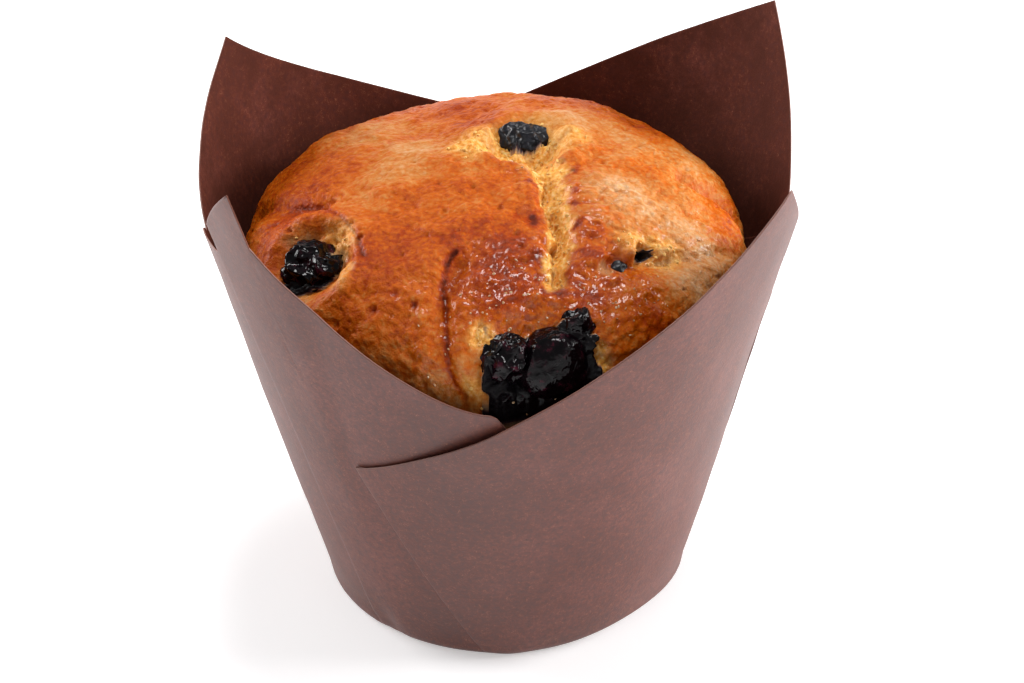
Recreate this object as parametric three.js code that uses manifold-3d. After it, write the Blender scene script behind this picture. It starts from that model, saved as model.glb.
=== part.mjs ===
// A fruit muffin in its tulip case. The case is one square of brown baking paper pressed into a cup, with
// four pointed petals and four pleats that lap clockwise. Millimetres, +Z up, origin at the middle of the
// base. The muffin's front faces -Y. Azimuths are in degrees from +X towards +Y and run clockwise.

import * as THREE from 'three';
import { mergeVertices } from 'three/addons/utils/BufferGeometryUtils.js';
import Module from 'manifold-3d';

const wasm = await Module();
wasm.setup();
const { clamp, degToRad, lerp, smoothstep } = THREE.MathUtils;

// Paper case: a cone standing on its small end
const BASE_RADIUS = 25;
const WALL_LEAN = degToRad(15.54);
const PAPER = 0.3;
const LAYER_PITCH = 0.52; // one thickness of paper and the air to the next layer
const APEX_SLANT = BASE_RADIUS / Math.sin(WALL_LEAN); // from the cone's missing point to the base edge
const BASE_LIFT = { azimuth: -42, spread: 26, height: 1.3, slantReach: 14, flatRadius: 17 };
const DISC_COLUMNS = 48;
const FLARE_START = 46; // slant height where a petal begins to lean away from the cone
const FLARE_REACH = 34;
const FLARE_SPREAD = 24;

// Each petal runs clockwise from its inner fold, tucked under the petal before it, past its tip to its outer
// fold. A place is [azimuth, slant height above the base edge]. Bow is how the rim sags between a tip and a
// fold, and spike the share of the rise that belongs to the curled point alone. Where a petal has a step, its
// rim drops there from the tip at once; past a corner it runs on to the inner fold.
const POINT_BOW = 12;
const PETALS = [
  { tip: [-31.7, 78.3], inner: [53, 38], outer: [-125.8, 35.9], bows: [1.6, 1.17], spike: 0.04, flare: 0.6 },
  {
    tip: [-138.3, 84.6],
    step: [-137.4, 75],
    corner: [-91.9, 51.2],
    inner: [-84, 42],
    outer: [-152, 72.8],
    bows: [1.57, 0.9],
    spike: 0,
    flare: 0.4,
  },
  {
    tip: [-213, 75.6],
    corner: [-176, 59.3],
    inner: [-134, 69],
    outer: [-287, 50.5],
    bows: [0.95, 1.8],
    spike: 0.06,
    flare: 0,
  },
  { tip: [-327.9, 79.6], inner: [-253, 50.5], outer: [-365, 47.5], bows: [1.45, 1], spike: 0, flare: 0 },
];
const PLEAT_FEET = [-95, -133, -268, -356]; // where each pleat starts on the base edge, after its petal
const FOOT_LAP = 2;
const STEP_RISE = 4; // slant height over which the layers part at the foot of a pleat
const RETURN_FOOT = 6;
const FOLD_BULGE = 0.35;
const COLUMN_STEP = 9;
const RIM_PASSES = 12; // a column meets the rim where its azimuth and the rim's height agree
const ROW_SHARES = [0, 0.06, 0.17, 0.36, 0.58, 0.79, 1];
const RETURN_SHARES = [0, 0.14, 0.42, 0.72, 1];

// Sponge: fills the case, leaves it below the rim and domes over
const SPONGE_GAP = 0.7;
const SPONGE_BOTTOM = 1;
const CORE_DROP = 12; // the crust swells away from a point this far below the dome's widest ring
const DOME_ROWS = 17;
const COLLAR_HEIGHTS = [43.5, 47.5];
const WALL_HEIGHTS = [12, 21, 30];
const BOTTOM_ROUND = 3;
const WALL_LEAVE = 39;
const DOME = { radius: 35.2, height: 15.1, centre: 50.3, fullness: 2.25, shift: -0.8 };
const FRONT_STEP = 4;
const BACK_STEP = 7.2;

// Small turnings between flat and round, shared by the forms below
const wrap = (degrees) => degrees - 360 * Math.round(degrees / 360);
const bell = (distance, reach) => Math.exp(-((distance / reach) ** 2));

function material(colour, roughness) {
  return new THREE.MeshStandardMaterial({ color: colour, roughness, metalness: 0 });
}

function signedVolume(points, triangles) {
  let sum = 0;
  for (const [a, b, c] of triangles) {
    sum += points[a].dot(new THREE.Vector3().crossVectors(points[b], points[c]));
  }
  return sum / 6;
}

// A closed mesh as a solid, turned so that its faces point out
function solidFrom(points, triangles) {
  const outward = signedVolume(points, triangles) > 0;
  const triVerts = new Uint32Array(triangles.flatMap(([a, b, c]) => (outward ? [a, b, c] : [a, c, b])));
  const vertProperties = new Float32Array(points.flatMap((p) => p.toArray()));
  return new wasm.Manifold(new wasm.Mesh({ numProp: 3, vertProperties, triVerts }));
}

function geometryFrom(solid) {
  const mesh = solid.getMesh();
  const geometry = new THREE.BufferGeometry();
  geometry.setAttribute('position', new THREE.BufferAttribute(mesh.vertProperties, 3));
  geometry.setIndex(new THREE.BufferAttribute(mesh.triVerts, 1));
  geometry.computeVertexNormals();
  return geometry;
}

// Triangles of a grid of columns by rows whose points start at first; around closes the last column
function gridTriangles(columns, rows, first, around) {
  const triangles = [];
  const spans = around ? columns : columns - 1;
  for (let j = 0; j + 1 < rows; j += 1) {
    for (let i = 0; i < spans; i += 1) {
      const a = first + j * columns + i;
      const b = first + j * columns + ((i + 1) % columns);
      triangles.push([a, b, b + columns], [a, b + columns, a + columns]);
    }
  }
  return triangles;
}

// ---- Paper case ----

const alongCone = (slant) => slant / (APEX_SLANT + slant);

// A crease is straight in the flat sheet, so on the cone its azimuth changes fastest near the base
function creaseAzimuth(foot, [azimuth, slant], at) {
  return lerp(foot, azimuth, alongCone(Math.min(at, slant)) / alongCone(slant));
}

// The innermost layer lies inside the plain cone and the outermost as far outside it, except on the base edge
function settle(slant) {
  return LAYER_PITCH * smoothstep(slant, 0, STEP_RISE);
}

function baseLift(azimuth) {
  return BASE_LIFT.height * bell(wrap(azimuth - BASE_LIFT.azimuth), BASE_LIFT.spread);
}

// A point of the wall: lift is its distance outside the innermost paper, lean is the petal's own flare there
function wallPoint(azimuth, slant, lift, lean) {
  const radius = BASE_RADIUS + slant * Math.sin(WALL_LEAN) - settle(slant) + lift + lean;
  const raised = baseLift(azimuth) * Math.max(0, 1 - slant / BASE_LIFT.slantReach) ** 2;
  const turn = degToRad(azimuth);
  return new THREE.Vector3(
    radius * Math.cos(turn),
    radius * Math.sin(turn),
    slant * Math.cos(WALL_LEAN) + raised,
  );
}

function petalLean(petal, azimuth, slant) {
  const rise = Math.max(0, slant - FLARE_START) / FLARE_REACH;
  return petal.flare * rise ** 2 * bell(wrap(azimuth - petal.tip[0]), FLARE_SPREAD);
}

function rimSlant(petal, azimuth) {
  const inner = azimuth > petal.tip[0];
  const corner = petal.corner ?? petal.inner;
  const [foldAzimuth, foldSlant] = inner ? corner : petal.outer;
  const bow = petal.bows[inner ? 0 : 1];
  const top = inner ? (petal.step ?? petal.tip) : petal.tip;
  const share = clamp((azimuth - top[0]) / (foldAzimuth - top[0]), 0, 1);
  const rise = lerp((1 - share) ** bow, (1 - share) ** POINT_BOW, petal.spike);
  const onStep = inner ? clamp((top[0] - azimuth) / Math.max(top[0] - petal.tip[0], 0.01), 0, 1) : 0;
  const past = clamp((azimuth - corner[0]) / Math.max(petal.inner[0] - corner[0], 1), 0, 1);
  const drop = (corner[1] - petal.inner[1]) * (petal.inner[1] > corner[1] ? Math.sqrt(past) : past);
  return foldSlant + (top[1] - foldSlant) * rise + onStep * (petal.tip[1] - top[1]) - drop;
}

// Unit normal of a folded path at one station, longer at a bend so that the paper keeps its thickness
function pathNormal(path, i) {
  const before = path[Math.max(i - 1, 0)];
  const after = path[Math.min(i + 1, path.length - 1)];
  const here = path[i];
  const sides = [[before, here], [here, after]]
    .map(([from, to]) => new THREE.Vector2(to.lift - from.lift, from.run - to.run))
    .filter((side) => side.length() > 1e-6)
    .map((side) => side.normalize());
  const sum = sides.reduce((total, side) => total.add(side), new THREE.Vector2());
  const normal = sum.normalize();
  return normal.divideScalar(Math.max(normal.dot(sides[0]), 0.6));
}

// A strip of paper: station(i, share) gives azimuth, slant, lift and lean along the path and up its height
function paperStrip(columns, shares, thickness, station) {
  const outside = [];
  const inside = [];
  for (const share of shares) {
    const path = Array.from({ length: columns }, (_, i) => station(i, share));
    const radii = path.map((p) => BASE_RADIUS + p.slant * Math.sin(WALL_LEAN));
    path.forEach((p, i) => {
      p.run = -degToRad(p.azimuth) * radii[Math.floor(columns / 2)];
    });
    path.forEach((p, i) => {
      const normal = pathNormal(path, i).multiplyScalar(thickness / 2);
      const turn = THREE.MathUtils.radToDeg(normal.x / radii[i]);
      outside.push(wallPoint(p.azimuth - turn, p.slant, p.lift + normal.y, p.lean));
      inside.push(wallPoint(p.azimuth + turn, p.slant, p.lift - normal.y, p.lean));
    });
  }
  const rows = shares.length;
  const half = columns * rows;
  const triangles = gridTriangles(columns, rows, 0, false);
  triangles.push(...gridTriangles(columns, rows, half, false).map(([a, b, c]) => [a, c, b]));
  const edge = [
    ...Array.from({ length: columns }, (_, i) => i),
    ...Array.from({ length: rows - 1 }, (_, j) => (j + 2) * columns - 1),
    ...Array.from({ length: columns - 1 }, (_, i) => half - 2 - i),
    ...Array.from({ length: rows - 2 }, (_, j) => (rows - 2 - j) * columns),
  ];
  edge.forEach((a, n) => {
    const b = edge[(n + 1) % edge.length];
    triangles.push([b, a, a + half], [b, a + half, b + half]);
  });
  return solidFrom([...outside, ...inside], triangles);
}

const pleat = (index) => {
  const petal = PETALS[index];
  const last = index === PETALS.length - 1;
  const next = PETALS[(index + 1) % PETALS.length];
  const inner = last ? [next.inner[0] - 360, next.inner[1]] : next.inner;
  return { petal, next, inner, outer: petal.outer, foot: PLEAT_FEET[index], turn: last ? 360 : 0 };
};

const outerCrease = (p, slant) => creaseAzimuth(p.foot - FOOT_LAP, p.outer, slant);
const innerCrease = (p, slant) => creaseAzimuth(p.foot + FOOT_LAP, p.inner, slant);

// Shares of a petal's width for its columns, one of them on each corner and on the tip
function petalParts(petal) {
  const width = petal.inner[0] - petal.outer[0];
  const marks = [petal.inner, petal.corner ?? petal.inner, petal.step ?? petal.tip, petal.tip, petal.outer];
  const breaks = marks.map(([azimuth]) => (petal.inner[0] - azimuth) / width);
  const parts = [0];
  for (let n = 0; n + 1 < breaks.length; n += 1) {
    const steps = Math.ceil(((breaks[n + 1] - breaks[n]) * width) / COLUMN_STEP);
    for (let i = 1; i <= steps; i += 1) {
      parts.push(lerp(breaks[n], breaks[n + 1], i / steps));
    }
  }
  return parts;
}

function petalStrip(index) {
  const petal = PETALS[index];
  const after = pleat(index);
  const before = pleat((index + PETALS.length - 1) % PETALS.length);
  const parts = petalParts(petal);
  const azimuthAt = (part, slant) => {
    return lerp(innerCrease(before, slant) + before.turn, outerCrease(after, slant), part);
  };
  return paperStrip(parts.length, ROW_SHARES, PAPER, (i, share) => {
    const part = parts[i];
    let rim = petal.tip[1];
    for (let pass = 0; pass < RIM_PASSES; pass += 1) {
      rim = lerp(rim, rimSlant(petal, azimuthAt(part, rim)), 0.6);
    }
    const slant = share * rim;
    const azimuth = azimuthAt(part, slant);
    const from = outerCrease(before, slant) + before.turn;
    const to = innerCrease(after, slant);
    const climb = smoothstep(from - azimuth, 0.5, from - to - 0.5);
    const lift = 2 * LAYER_PITCH * climb * smoothstep(slant, 0, STEP_RISE);
    return { azimuth, slant, lift, lean: petalLean(petal, azimuth, slant) };
  });
}

// The hidden layer of a pleat, which turns back under one petal and joins the next
function returnStrip(index) {
  const p = pleat(index);
  const inside = Math.max(2, Math.round((p.inner[0] - p.outer[0]) / COLUMN_STEP / 1.5));
  const columns = inside + 5;
  return paperStrip(columns, RETURN_SHARES, PAPER * 0.9, (i, share) => {
    const part = clamp((i - 2) / inside, 0, 1);
    const rim = lerp(p.outer[1], p.inner[1], part) - 0.15;
    const slant = lerp(RETURN_FOOT, rim, share);
    const radius = BASE_RADIUS + slant * Math.sin(WALL_LEAN);
    const bulge = THREE.MathUtils.radToDeg(FOLD_BULGE / radius);
    const places = [
      { shift: 2 * bulge, layer: 2 },
      { shift: -bulge, layer: 1.5 },
      ...Array.from({ length: inside + 1 }, () => ({ shift: 0, layer: 1 })),
      { shift: bulge, layer: 0.5 },
      { shift: -2 * bulge, layer: 0 },
    ];
    const { shift, layer } = places[i];
    const crease = lerp(outerCrease(p, slant), innerCrease(p, slant), part);
    const lean = petalLean(p.petal, crease, slant);
    return { azimuth: crease + shift, slant, lift: layer * LAYER_PITCH, lean };
  });
}

function baseDisc() {
  const columns = DISC_COLUMNS;
  const radii = [10, BASE_LIFT.flatRadius, 21, BASE_RADIUS];
  const points = [];
  for (const thickness of [0, PAPER]) {
    for (const radius of radii) {
      for (let i = 0; i < columns; i += 1) {
        const azimuth = (360 * i) / columns;
        const turn = degToRad(azimuth);
        const raised = baseLift(azimuth) * smoothstep(radius, BASE_LIFT.flatRadius, BASE_RADIUS);
        points.push(new THREE.Vector3(radius * Math.cos(turn), radius * Math.sin(turn), raised + thickness));
      }
    }
  }
  const half = columns * radii.length;
  const triangles = gridTriangles(columns, radii.length, 0, true).map(([a, b, c]) => [a, c, b]);
  triangles.push(...gridTriangles(columns, radii.length, half, true));
  const below = points.push(new THREE.Vector3(0, 0, 0)) - 1;
  const above = points.push(new THREE.Vector3(0, 0, PAPER)) - 1;
  for (let i = 0; i < columns; i += 1) {
    const next = (i + 1) % columns;
    const edge = half - columns;
    triangles.push([below, i, next], [above, half + next, half + i]);
    triangles.push([edge + i, half + edge + i, half + edge + next]);
    triangles.push([edge + i, half + edge + next, edge + next]);
  }
  return solidFrom(points, triangles);
}

function paperCase() {
  let solid = baseDisc();
  PETALS.forEach((_, index) => {
    solid = solid.add(petalStrip(index)).add(returnStrip(index));
  });
  return solid;
}

// ---- Muffin ----

// Places on the dome are [x, y] seen from above, with a height where the side is too steep for its rule
const CRATERS = [
  { at: [3.8, 7.4], reach: 5.4, depth: 3.2, lip: 0.7 },
  { at: [-25.6, -14.8], reach: 5.8, depth: 2.8, lip: 1 },
  { at: [4.6, -33.2, 54], reach: 8, depth: 2.4, lip: 0.3 },
];
const LIP_PLACE = 1.35; // in reaches from the middle of a crater
const LIP_WIDTH = 0.4;
const PITS = [
  { at: [19.4, -17.5], reach: 2.1, depth: 2.2 },
  { at: [22.9, -16], reach: 2.6, depth: 1.1 },
  { at: [15.9, -19.6], reach: 1.9, depth: 1.3 },
  { at: [-25.9, -10], reach: 1.6, depth: 1 },
];
const CRACK = { line: [[6.1, 2], [7.3, -2.2], [8, -10.8], [8.2, -16], [7.6, -23.8]], reach: 2.1, depth: 2 };
const CREASE = {
  line: [[-5.5, -21.8], [-7.9, -26.4], [-8, -29.4], [-7.4, -32.9, 53.6], [-5.4, -33.8, 50.2]],
  reach: 1.7,
  depth: 1.3,
};
const LOBE_EDGES = [
  { line: [[-33.8, 6, 54.2], [-31.5, 1.6, 57.5], [-28.6, -2], [-24.8, -3.8]], reach: 1.8, depth: 1.5 },
  { line: [[-24.8, -3.8], [-21.2, -8.8], [-19.2, -13.3], [-18.2, -17.3]], reach: 1.2, depth: 0.5 },
  { line: [[33.8, 2, 53.6], [31.4, 3.4, 57], [29, 3], [26.4, 3]], reach: 2, depth: 2 },
  { line: [[14.2, -20.6], [19.8, -18.8], [26, -14.8], [31, -9.4, 56.6]], reach: 1.3, depth: 0.7 },
];
const SWELLS = [
  { at: [-16, -22], reach: 10, rise: 0.8 },
  { at: [-30, -5], reach: 8, rise: 0.5 },
  { at: [0, -13], reach: 9, rise: 0.5 },
  { at: [15, -10], reach: 9, rise: 0.8 },
  { at: [26, 6], reach: 9, rise: 0.4 },
  { at: [-10, 18], reach: 9, rise: -1.5 },
  { at: [9, 19], reach: 9, rise: 0.8 },
  { at: [-22, 17], reach: 8, rise: 0.4 },
  { at: [20, -26], reach: 8, rise: 0.7 },
];

function domeHeight(x, y) {
  const share = clamp(Math.hypot(x - DOME.shift, y) / DOME.radius, 0, 1);
  return DOME.centre + DOME.height * (1 - share ** DOME.fullness) ** (1 / DOME.fullness);
}

function onDome([x, y, height = domeHeight(x, y)]) {
  return new THREE.Vector3(x, y, height);
}

function distanceToLine(point, line) {
  const nearest = new THREE.Vector3();
  let least = Infinity;
  for (let n = 0; n + 1 < line.length; n += 1) {
    new THREE.Line3(onDome(line[n]), onDome(line[n + 1])).closestPointToPoint(point, true, nearest);
    least = Math.min(least, nearest.distanceTo(point));
  }
  return least;
}

function craterRelief(point, crater) {
  const share = point.distanceTo(onDome(crater.at)) / crater.reach;
  const bowl = -crater.depth * bell(share ** 2, 1);
  return bowl + crater.lip * bell(share - LIP_PLACE, LIP_WIDTH);
}

// How far the crust stands proud of the plain dome at a point
function crustRelief(point) {
  let relief = 0;
  for (const swell of SWELLS) {
    relief += swell.rise * bell(point.distanceTo(onDome(swell.at)), swell.reach);
  }
  for (const crater of CRATERS) {
    relief += craterRelief(point, crater);
  }
  for (const pit of PITS) {
    relief -= pit.depth * bell(point.distanceTo(onDome(pit.at)), pit.reach);
  }
  for (const furrow of [CRACK, CREASE, ...LOBE_EDGES]) {
    relief -= furrow.depth * bell(distanceToLine(point, furrow.line), furrow.reach);
  }
  return relief;
}

function wallInside(z) {
  return BASE_RADIUS + z * Math.tan(WALL_LEAN) - LAYER_PITCH - PAPER / 2 - SPONGE_GAP;
}

// The sponge's outline from the middle of its bottom to the middle of its top, as [radius, height]
function spongeProfile() {
  const foot = wallInside(SPONGE_BOTTOM);
  const bottom = [[9, SPONGE_BOTTOM], [17, SPONGE_BOTTOM]];
  const corner = [0, 0.5, 1].map((share) => {
    const turn = (share * Math.PI) / 2;
    const inset = BOTTOM_ROUND * (1 - Math.sin(turn));
    return [foot - inset, SPONGE_BOTTOM + BOTTOM_ROUND * (1 - Math.cos(turn))];
  });
  const wall = [...WALL_HEIGHTS, WALL_LEAVE].map((z) => [wallInside(z), z]);
  const collar = COLLAR_HEIGHTS.map((z) => {
    const share = (z - WALL_LEAVE) / (DOME.centre - WALL_LEAVE);
    return [lerp(wallInside(WALL_LEAVE), DOME.radius, share), z];
  });
  const dome = Array.from({ length: DOME_ROWS }, (_, n) => {
    const turn = (n / DOME_ROWS) * (Math.PI / 2);
    const power = 2 / DOME.fullness;
    return [DOME.radius * Math.cos(turn) ** power, DOME.centre + DOME.height * Math.sin(turn) ** power];
  });
  return [...bottom, ...corner, ...wall, ...collar, ...dome];
}

function spongeAzimuths() {
  const azimuths = [];
  for (let azimuth = -180; azimuth < 180; azimuth += azimuth < 0 ? FRONT_STEP : BACK_STEP) {
    azimuths.push(azimuth);
  }
  return azimuths;
}

function plainSponge() {
  const profile = spongeProfile();
  const azimuths = spongeAzimuths();
  const core = new THREE.Vector3(0, 0, DOME.centre - CORE_DROP);
  const points = [];
  for (const [radius, height] of profile) {
    for (const azimuth of azimuths) {
      const turn = degToRad(azimuth);
      const point = new THREE.Vector3(radius * Math.cos(turn), radius * Math.sin(turn), height);
      const free = smoothstep(height, WALL_LEAVE, DOME.centre);
      point.x += free * DOME.shift;
      const outward = point.clone().sub(core).normalize();
      points.push(point.addScaledVector(outward, free * crustRelief(point)));
    }
  }
  const columns = azimuths.length;
  const triangles = gridTriangles(columns, profile.length, 0, true);
  const topRow = columns * (profile.length - 1);
  const top = onDome([DOME.shift, 0]);
  top.z += crustRelief(top);
  const below = points.push(new THREE.Vector3(0, 0, SPONGE_BOTTOM)) - 1;
  const above = points.push(top) - 1;
  for (let i = 0; i < columns; i += 1) {
    const next = (i + 1) % columns;
    triangles.push([below, next, i], [above, topRow + i, topRow + next]);
  }
  return solidFrom(points, triangles);
}

// ---- Berries: burst and shrunk in the oven, so each is a squashed and dented ball ----

const BERRY_GAP = 0.35;
const DENT_DEPTH = 0.07; // as a share of a berry's size; dents below turns the pattern
const BERRIES = {
  berry_front_large: { at: [6.5, -30.8, 52.9], size: [5.6, 4.9, 4.8], detail: 3, dents: 3 },
  berry_front_left: { at: [0.3, -31.2, 53.9], size: [3.6, 3.8, 4.1], detail: 2, dents: 5 },
  berry_front_low: { at: [1.2, -32.3, 47.8], size: [3.2, 3.2, 3.5], detail: 2, dents: 7 },
  berry_front_upper: { at: [10.4, -28.1, 56.9], size: [3, 2.8, 2.7], detail: 2, dents: 2 },
  berry_left: { at: [-25.5, -13.4, 57.2], size: [4.6, 4.4, 4.5], detail: 3, dents: 6 },
  berry_top: { at: [3.6, 11, 63.9], size: [3.8, 3, 2.5], detail: 2, dents: 4 },
  berry_right: { at: [15.9, -18.3, 60.6], size: [2.4, 2.2, 2.1], detail: 2, dents: 1 },
};

function berrySolid({ at, size, detail, dents }, grow) {
  const ball = new THREE.IcosahedronGeometry(1, detail);
  ball.deleteAttribute('normal');
  ball.deleteAttribute('uv');
  const merged = mergeVertices(ball, 1e-4);
  const points = [];
  const position = merged.getAttribute('position');
  for (let n = 0; n < position.count; n += 1) {
    const p = new THREE.Vector3().fromBufferAttribute(position, n).normalize();
    const across = Math.sin(3.1 * p.x + dents) * Math.sin(2.7 * p.y + 1.7 * dents);
    const reach = 1 + DENT_DEPTH * (across + Math.sin(3.7 * p.z - dents));
    const rim = new THREE.Vector3(...size).multiply(p).multiplyScalar(reach);
    points.push(rim.addScaledVector(p, grow).add(new THREE.Vector3(...at)));
  }
  const index = merged.getIndex().array;
  const triangles = [];
  for (let n = 0; n < index.length; n += 3) {
    triangles.push([index[n], index[n + 1], index[n + 2]]);
  }
  return solidFrom(points, triangles);
}

// Where two berries press together the earlier one keeps its shape
function berryRow() {
  const done = {};
  for (const [name, berry] of Object.entries(BERRIES)) {
    let solid = berrySolid(berry, 0);
    for (const other of Object.keys(done)) {
      solid = solid.subtract(berrySolid(BERRIES[other], BERRY_GAP));
    }
    done[name] = solid;
  }
  return done;
}

function sponge() {
  let solid = plainSponge();
  for (const berry of Object.values(BERRIES)) {
    solid = solid.subtract(berrySolid(berry, BERRY_GAP));
  }
  return solid;
}

const muffin = new THREE.Group();
muffin.name = 'fruit_muffin';

function addNode(name, solid, finish) {
  const mesh = new THREE.Mesh(geometryFrom(solid), finish);
  mesh.name = name;
  muffin.add(mesh);
}

addNode('paper_case', paperCase(), material(0x6f4a40, 0.8));
addNode('sponge', sponge(), material(0xc8702c, 0.55));
const berryFinish = material(0x17121c, 0.3);
for (const [name, solid] of Object.entries(berryRow())) {
  addNode(name, solid, berryFinish);
}

export default muffin;
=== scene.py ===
"""A fruit muffin in its tulip case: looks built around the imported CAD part.

Sizes are in millimetres and azimuths in degrees from +X towards +Y, running clockwise, as in the part.
"""

import itertools
import logging
import math
from dataclasses import dataclass
from enum import Enum

import bpy
import numpy as np
from mathutils import Matrix, Vector


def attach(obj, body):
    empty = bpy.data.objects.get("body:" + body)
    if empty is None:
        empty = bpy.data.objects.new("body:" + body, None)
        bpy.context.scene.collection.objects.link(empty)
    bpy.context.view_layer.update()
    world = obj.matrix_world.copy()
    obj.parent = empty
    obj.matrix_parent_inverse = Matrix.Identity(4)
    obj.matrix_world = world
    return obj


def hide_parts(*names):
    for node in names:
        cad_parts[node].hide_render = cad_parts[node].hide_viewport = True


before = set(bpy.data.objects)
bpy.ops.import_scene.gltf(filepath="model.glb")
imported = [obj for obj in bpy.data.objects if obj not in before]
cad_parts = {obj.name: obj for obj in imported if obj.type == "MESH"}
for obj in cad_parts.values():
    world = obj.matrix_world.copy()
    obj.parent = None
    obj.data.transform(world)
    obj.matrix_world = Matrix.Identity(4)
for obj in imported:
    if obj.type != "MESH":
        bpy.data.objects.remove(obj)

LOG = logging.getLogger("muffin")
MM = 0.001
ROOT = "root"
NOISE = ("Vector", "Scale", "Detail", "Roughness", "Distortion")
SPAN = ("Value", "From Min", "From Max", "To Min", "To Max")
Array = np.ndarray
Tree = bpy.types.NodeTree
Node = bpy.types.Node
Socket = bpy.types.NodeSocket
Place = tuple[float, ...]
Stops = tuple[tuple[float, str], ...]


# ---- Numbers ----


def wrap(degrees: Array) -> Array:
    """Turns an angle to the same angle from -180 to 180 degrees."""
    return degrees - 360 * np.round(degrees / 360)


def bell(distance: Array, reach: float) -> Array:
    """A smooth hump, 1 at no distance and 0.37 at its reach."""
    return np.exp(-((distance / reach) ** 2))


def lerp(start: Array, end: Array, share: Array) -> Array:
    """The value a share of the way from start to end."""
    return start + (end - start) * share


def smoothstep(value: Array, low: float, high: float) -> Array:
    """Rises smoothly from 0 at low to 1 at high."""
    share = np.clip((value - low) / (high - low), 0, 1)
    return share * share * (3 - 2 * share)


def hashed(cells: Array, seed: int) -> Array:
    """A fixed random share for each cell of a lattice.

    Args:
        cells: Whole-number cells, three to a row.
        seed: Picks one of many unlike lattices.

    Returns:
        Numbers from 0 to 1, one for each row.
    """
    x, y, z = (cells[:, axis].astype(np.uint64) for axis in range(3))
    mixed = x * np.uint64(374761393) + y * np.uint64(668265263) + z * np.uint64(2246822519)
    mixed = (mixed + np.uint64(seed * 3266489917)) & np.uint64(0xFFFFFFFF)
    mixed = ((mixed ^ (mixed >> np.uint64(13))) * np.uint64(1274126177)) & np.uint64(0xFFFFFFFF)
    mixed = ((mixed ^ (mixed >> np.uint64(16))) * np.uint64(2654435761)) & np.uint64(0xFFFFFFFF)
    return (mixed >> np.uint64(8)).astype(float) / 2**24


def noise(points: Array, size: float, seed: int) -> Array:
    """Smooth noise in space, from about -1 to 1.

    Args:
        points: Places in millimetres.
        size: Spacing of its hills in millimetres.
        seed: Picks one of many unlike noises.

    Returns:
        One value for each point.
    """
    place = points / size + 0.37 * seed
    cell = np.floor(place)
    part = place - cell
    ease = part**3 * (part * (part * 6 - 15) + 10)
    total = np.zeros(len(points))
    for corner in itertools.product((0, 1), repeat=3):
        offset = np.array(corner)
        at = (cell + offset).astype(np.int64)
        turn = 2 * math.pi * hashed(at, 2 * seed)
        rise = 2 * hashed(at, 2 * seed + 1) - 1
        flat = np.sqrt(1 - rise**2)
        slope = np.stack([flat * np.cos(turn), flat * np.sin(turn), rise], 1)
        weight = np.prod(np.where(offset, ease, 1 - ease), 1)
        total += weight * (slope * (part - offset)).sum(1)
    return 1.7 * total


def layered(points: Array, size: float, seed: int, layers: int) -> Array:
    """Noise with finer and fainter noises laid over it.

    Args:
        points: Places in millimetres.
        size: Spacing of the coarsest hills.
        seed: Picks one of many unlike noises.
        layers: How many noises, each half as wide and half as strong as the one before.

    Returns:
        One value for each point.
    """
    return sum(noise(points, size / 2**n, seed + n) / 2**n for n in range(layers))


def ridges(points: Array, size: float, seed: int) -> Array:
    """Noise folded into sharp ridges, up to 1 on top of them."""
    return 1 - 2 * np.abs(noise(points, size, seed))


def holes(points: Array, size: float, seed: int, share: float) -> Array:
    """Scattered round spots, as gas bubbles leave in a crust.

    Args:
        points: Places in millimetres.
        size: Spacing of the cells that may each hold one spot.
        seed: Picks one of many unlike scatters.
        share: Which part of the cells hold a spot.

    Returns:
        1 in the middle of a spot and 0 outside it, for each point.
    """
    place = points / size
    cell = np.floor(place).astype(np.int64)
    depth = np.zeros(len(points))
    for corner in itertools.product((-1, 0, 1), repeat=3):
        at = cell + np.array(corner)
        middle = at + np.stack([hashed(at, seed + axis) for axis in range(3)], 1)
        radius = np.where(hashed(at, seed + 3) < share, 0.14 + 0.22 * hashed(at, seed + 4), 1e-6)
        distance = np.linalg.norm(place - middle, axis=1)
        depth = np.maximum(depth, 1 - smoothstep(distance / radius, 0.35, 1))
    return depth


# ---- Meshes and nodes ----


def linear(colour: str) -> tuple[float, float, float, float]:
    """Turns a colour to linear light.

    Args:
        colour: sRGB hex, such as #C96A28.

    Returns:
        Red, green, blue and full opacity.
    """
    parts = (int(colour[n : n + 2], 16) / 255 for n in (1, 3, 5))
    red, green, blue = (c / 12.92 if c <= 0.04045 else ((c + 0.055) / 1.055) ** 2.4 for c in parts)
    return red, green, blue, 1.0


def connect(node: Node, inputs: dict) -> None:
    """Fills a node's inputs.

    Args:
        node: The node.
        inputs: For each input's name or number, its value or the socket that feeds it.
    """
    for name, value in inputs.items():
        if isinstance(value, Socket):
            node.id_data.links.new(value, node.inputs[name])
        else:
            node.inputs[name].default_value = value


def add_node(tree: Tree, kind: str, inputs: dict | None = None, stops: Stops = (), **settings) -> Node:
    """Adds a node to a tree.

    Args:
        tree: The material's or Geometry Nodes tree.
        kind: The node's type.
        inputs: For each input's name or number, its value or the socket that feeds it.
        stops: Places from 0 to 1 on its colour ramp, each with an sRGB hex colour.
        **settings: The node's own settings.

    Returns:
        The new node.
    """
    node = tree.nodes.new(kind)
    for name, value in settings.items():
        setattr(node, name, value)
    connect(node, inputs or {})
    for index, (place, colour) in enumerate(stops):
        elements = node.color_ramp.elements
        element = elements[index] if index < len(elements) else elements.new(1.0)
        element.position = place
        element.color = linear(colour)
    return node


def add_each(tree: Tree, kind: str, names: tuple, rows: dict[str, tuple], **settings) -> dict[str, Socket]:
    """Adds a node for each row of a table.

    Args:
        tree: The tree.
        kind: The nodes' type.
        names: Names or numbers of the inputs that a row fills, in order.
        rows: Each node's inputs, under a name; the last ones may be left out.
        **settings: The nodes' own settings.

    Returns:
        Each node's first output.
    """
    return {
        name: add_node(tree, kind, dict(zip(names, row)), **settings).outputs[0] for name, row in rows.items()
    }


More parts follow.
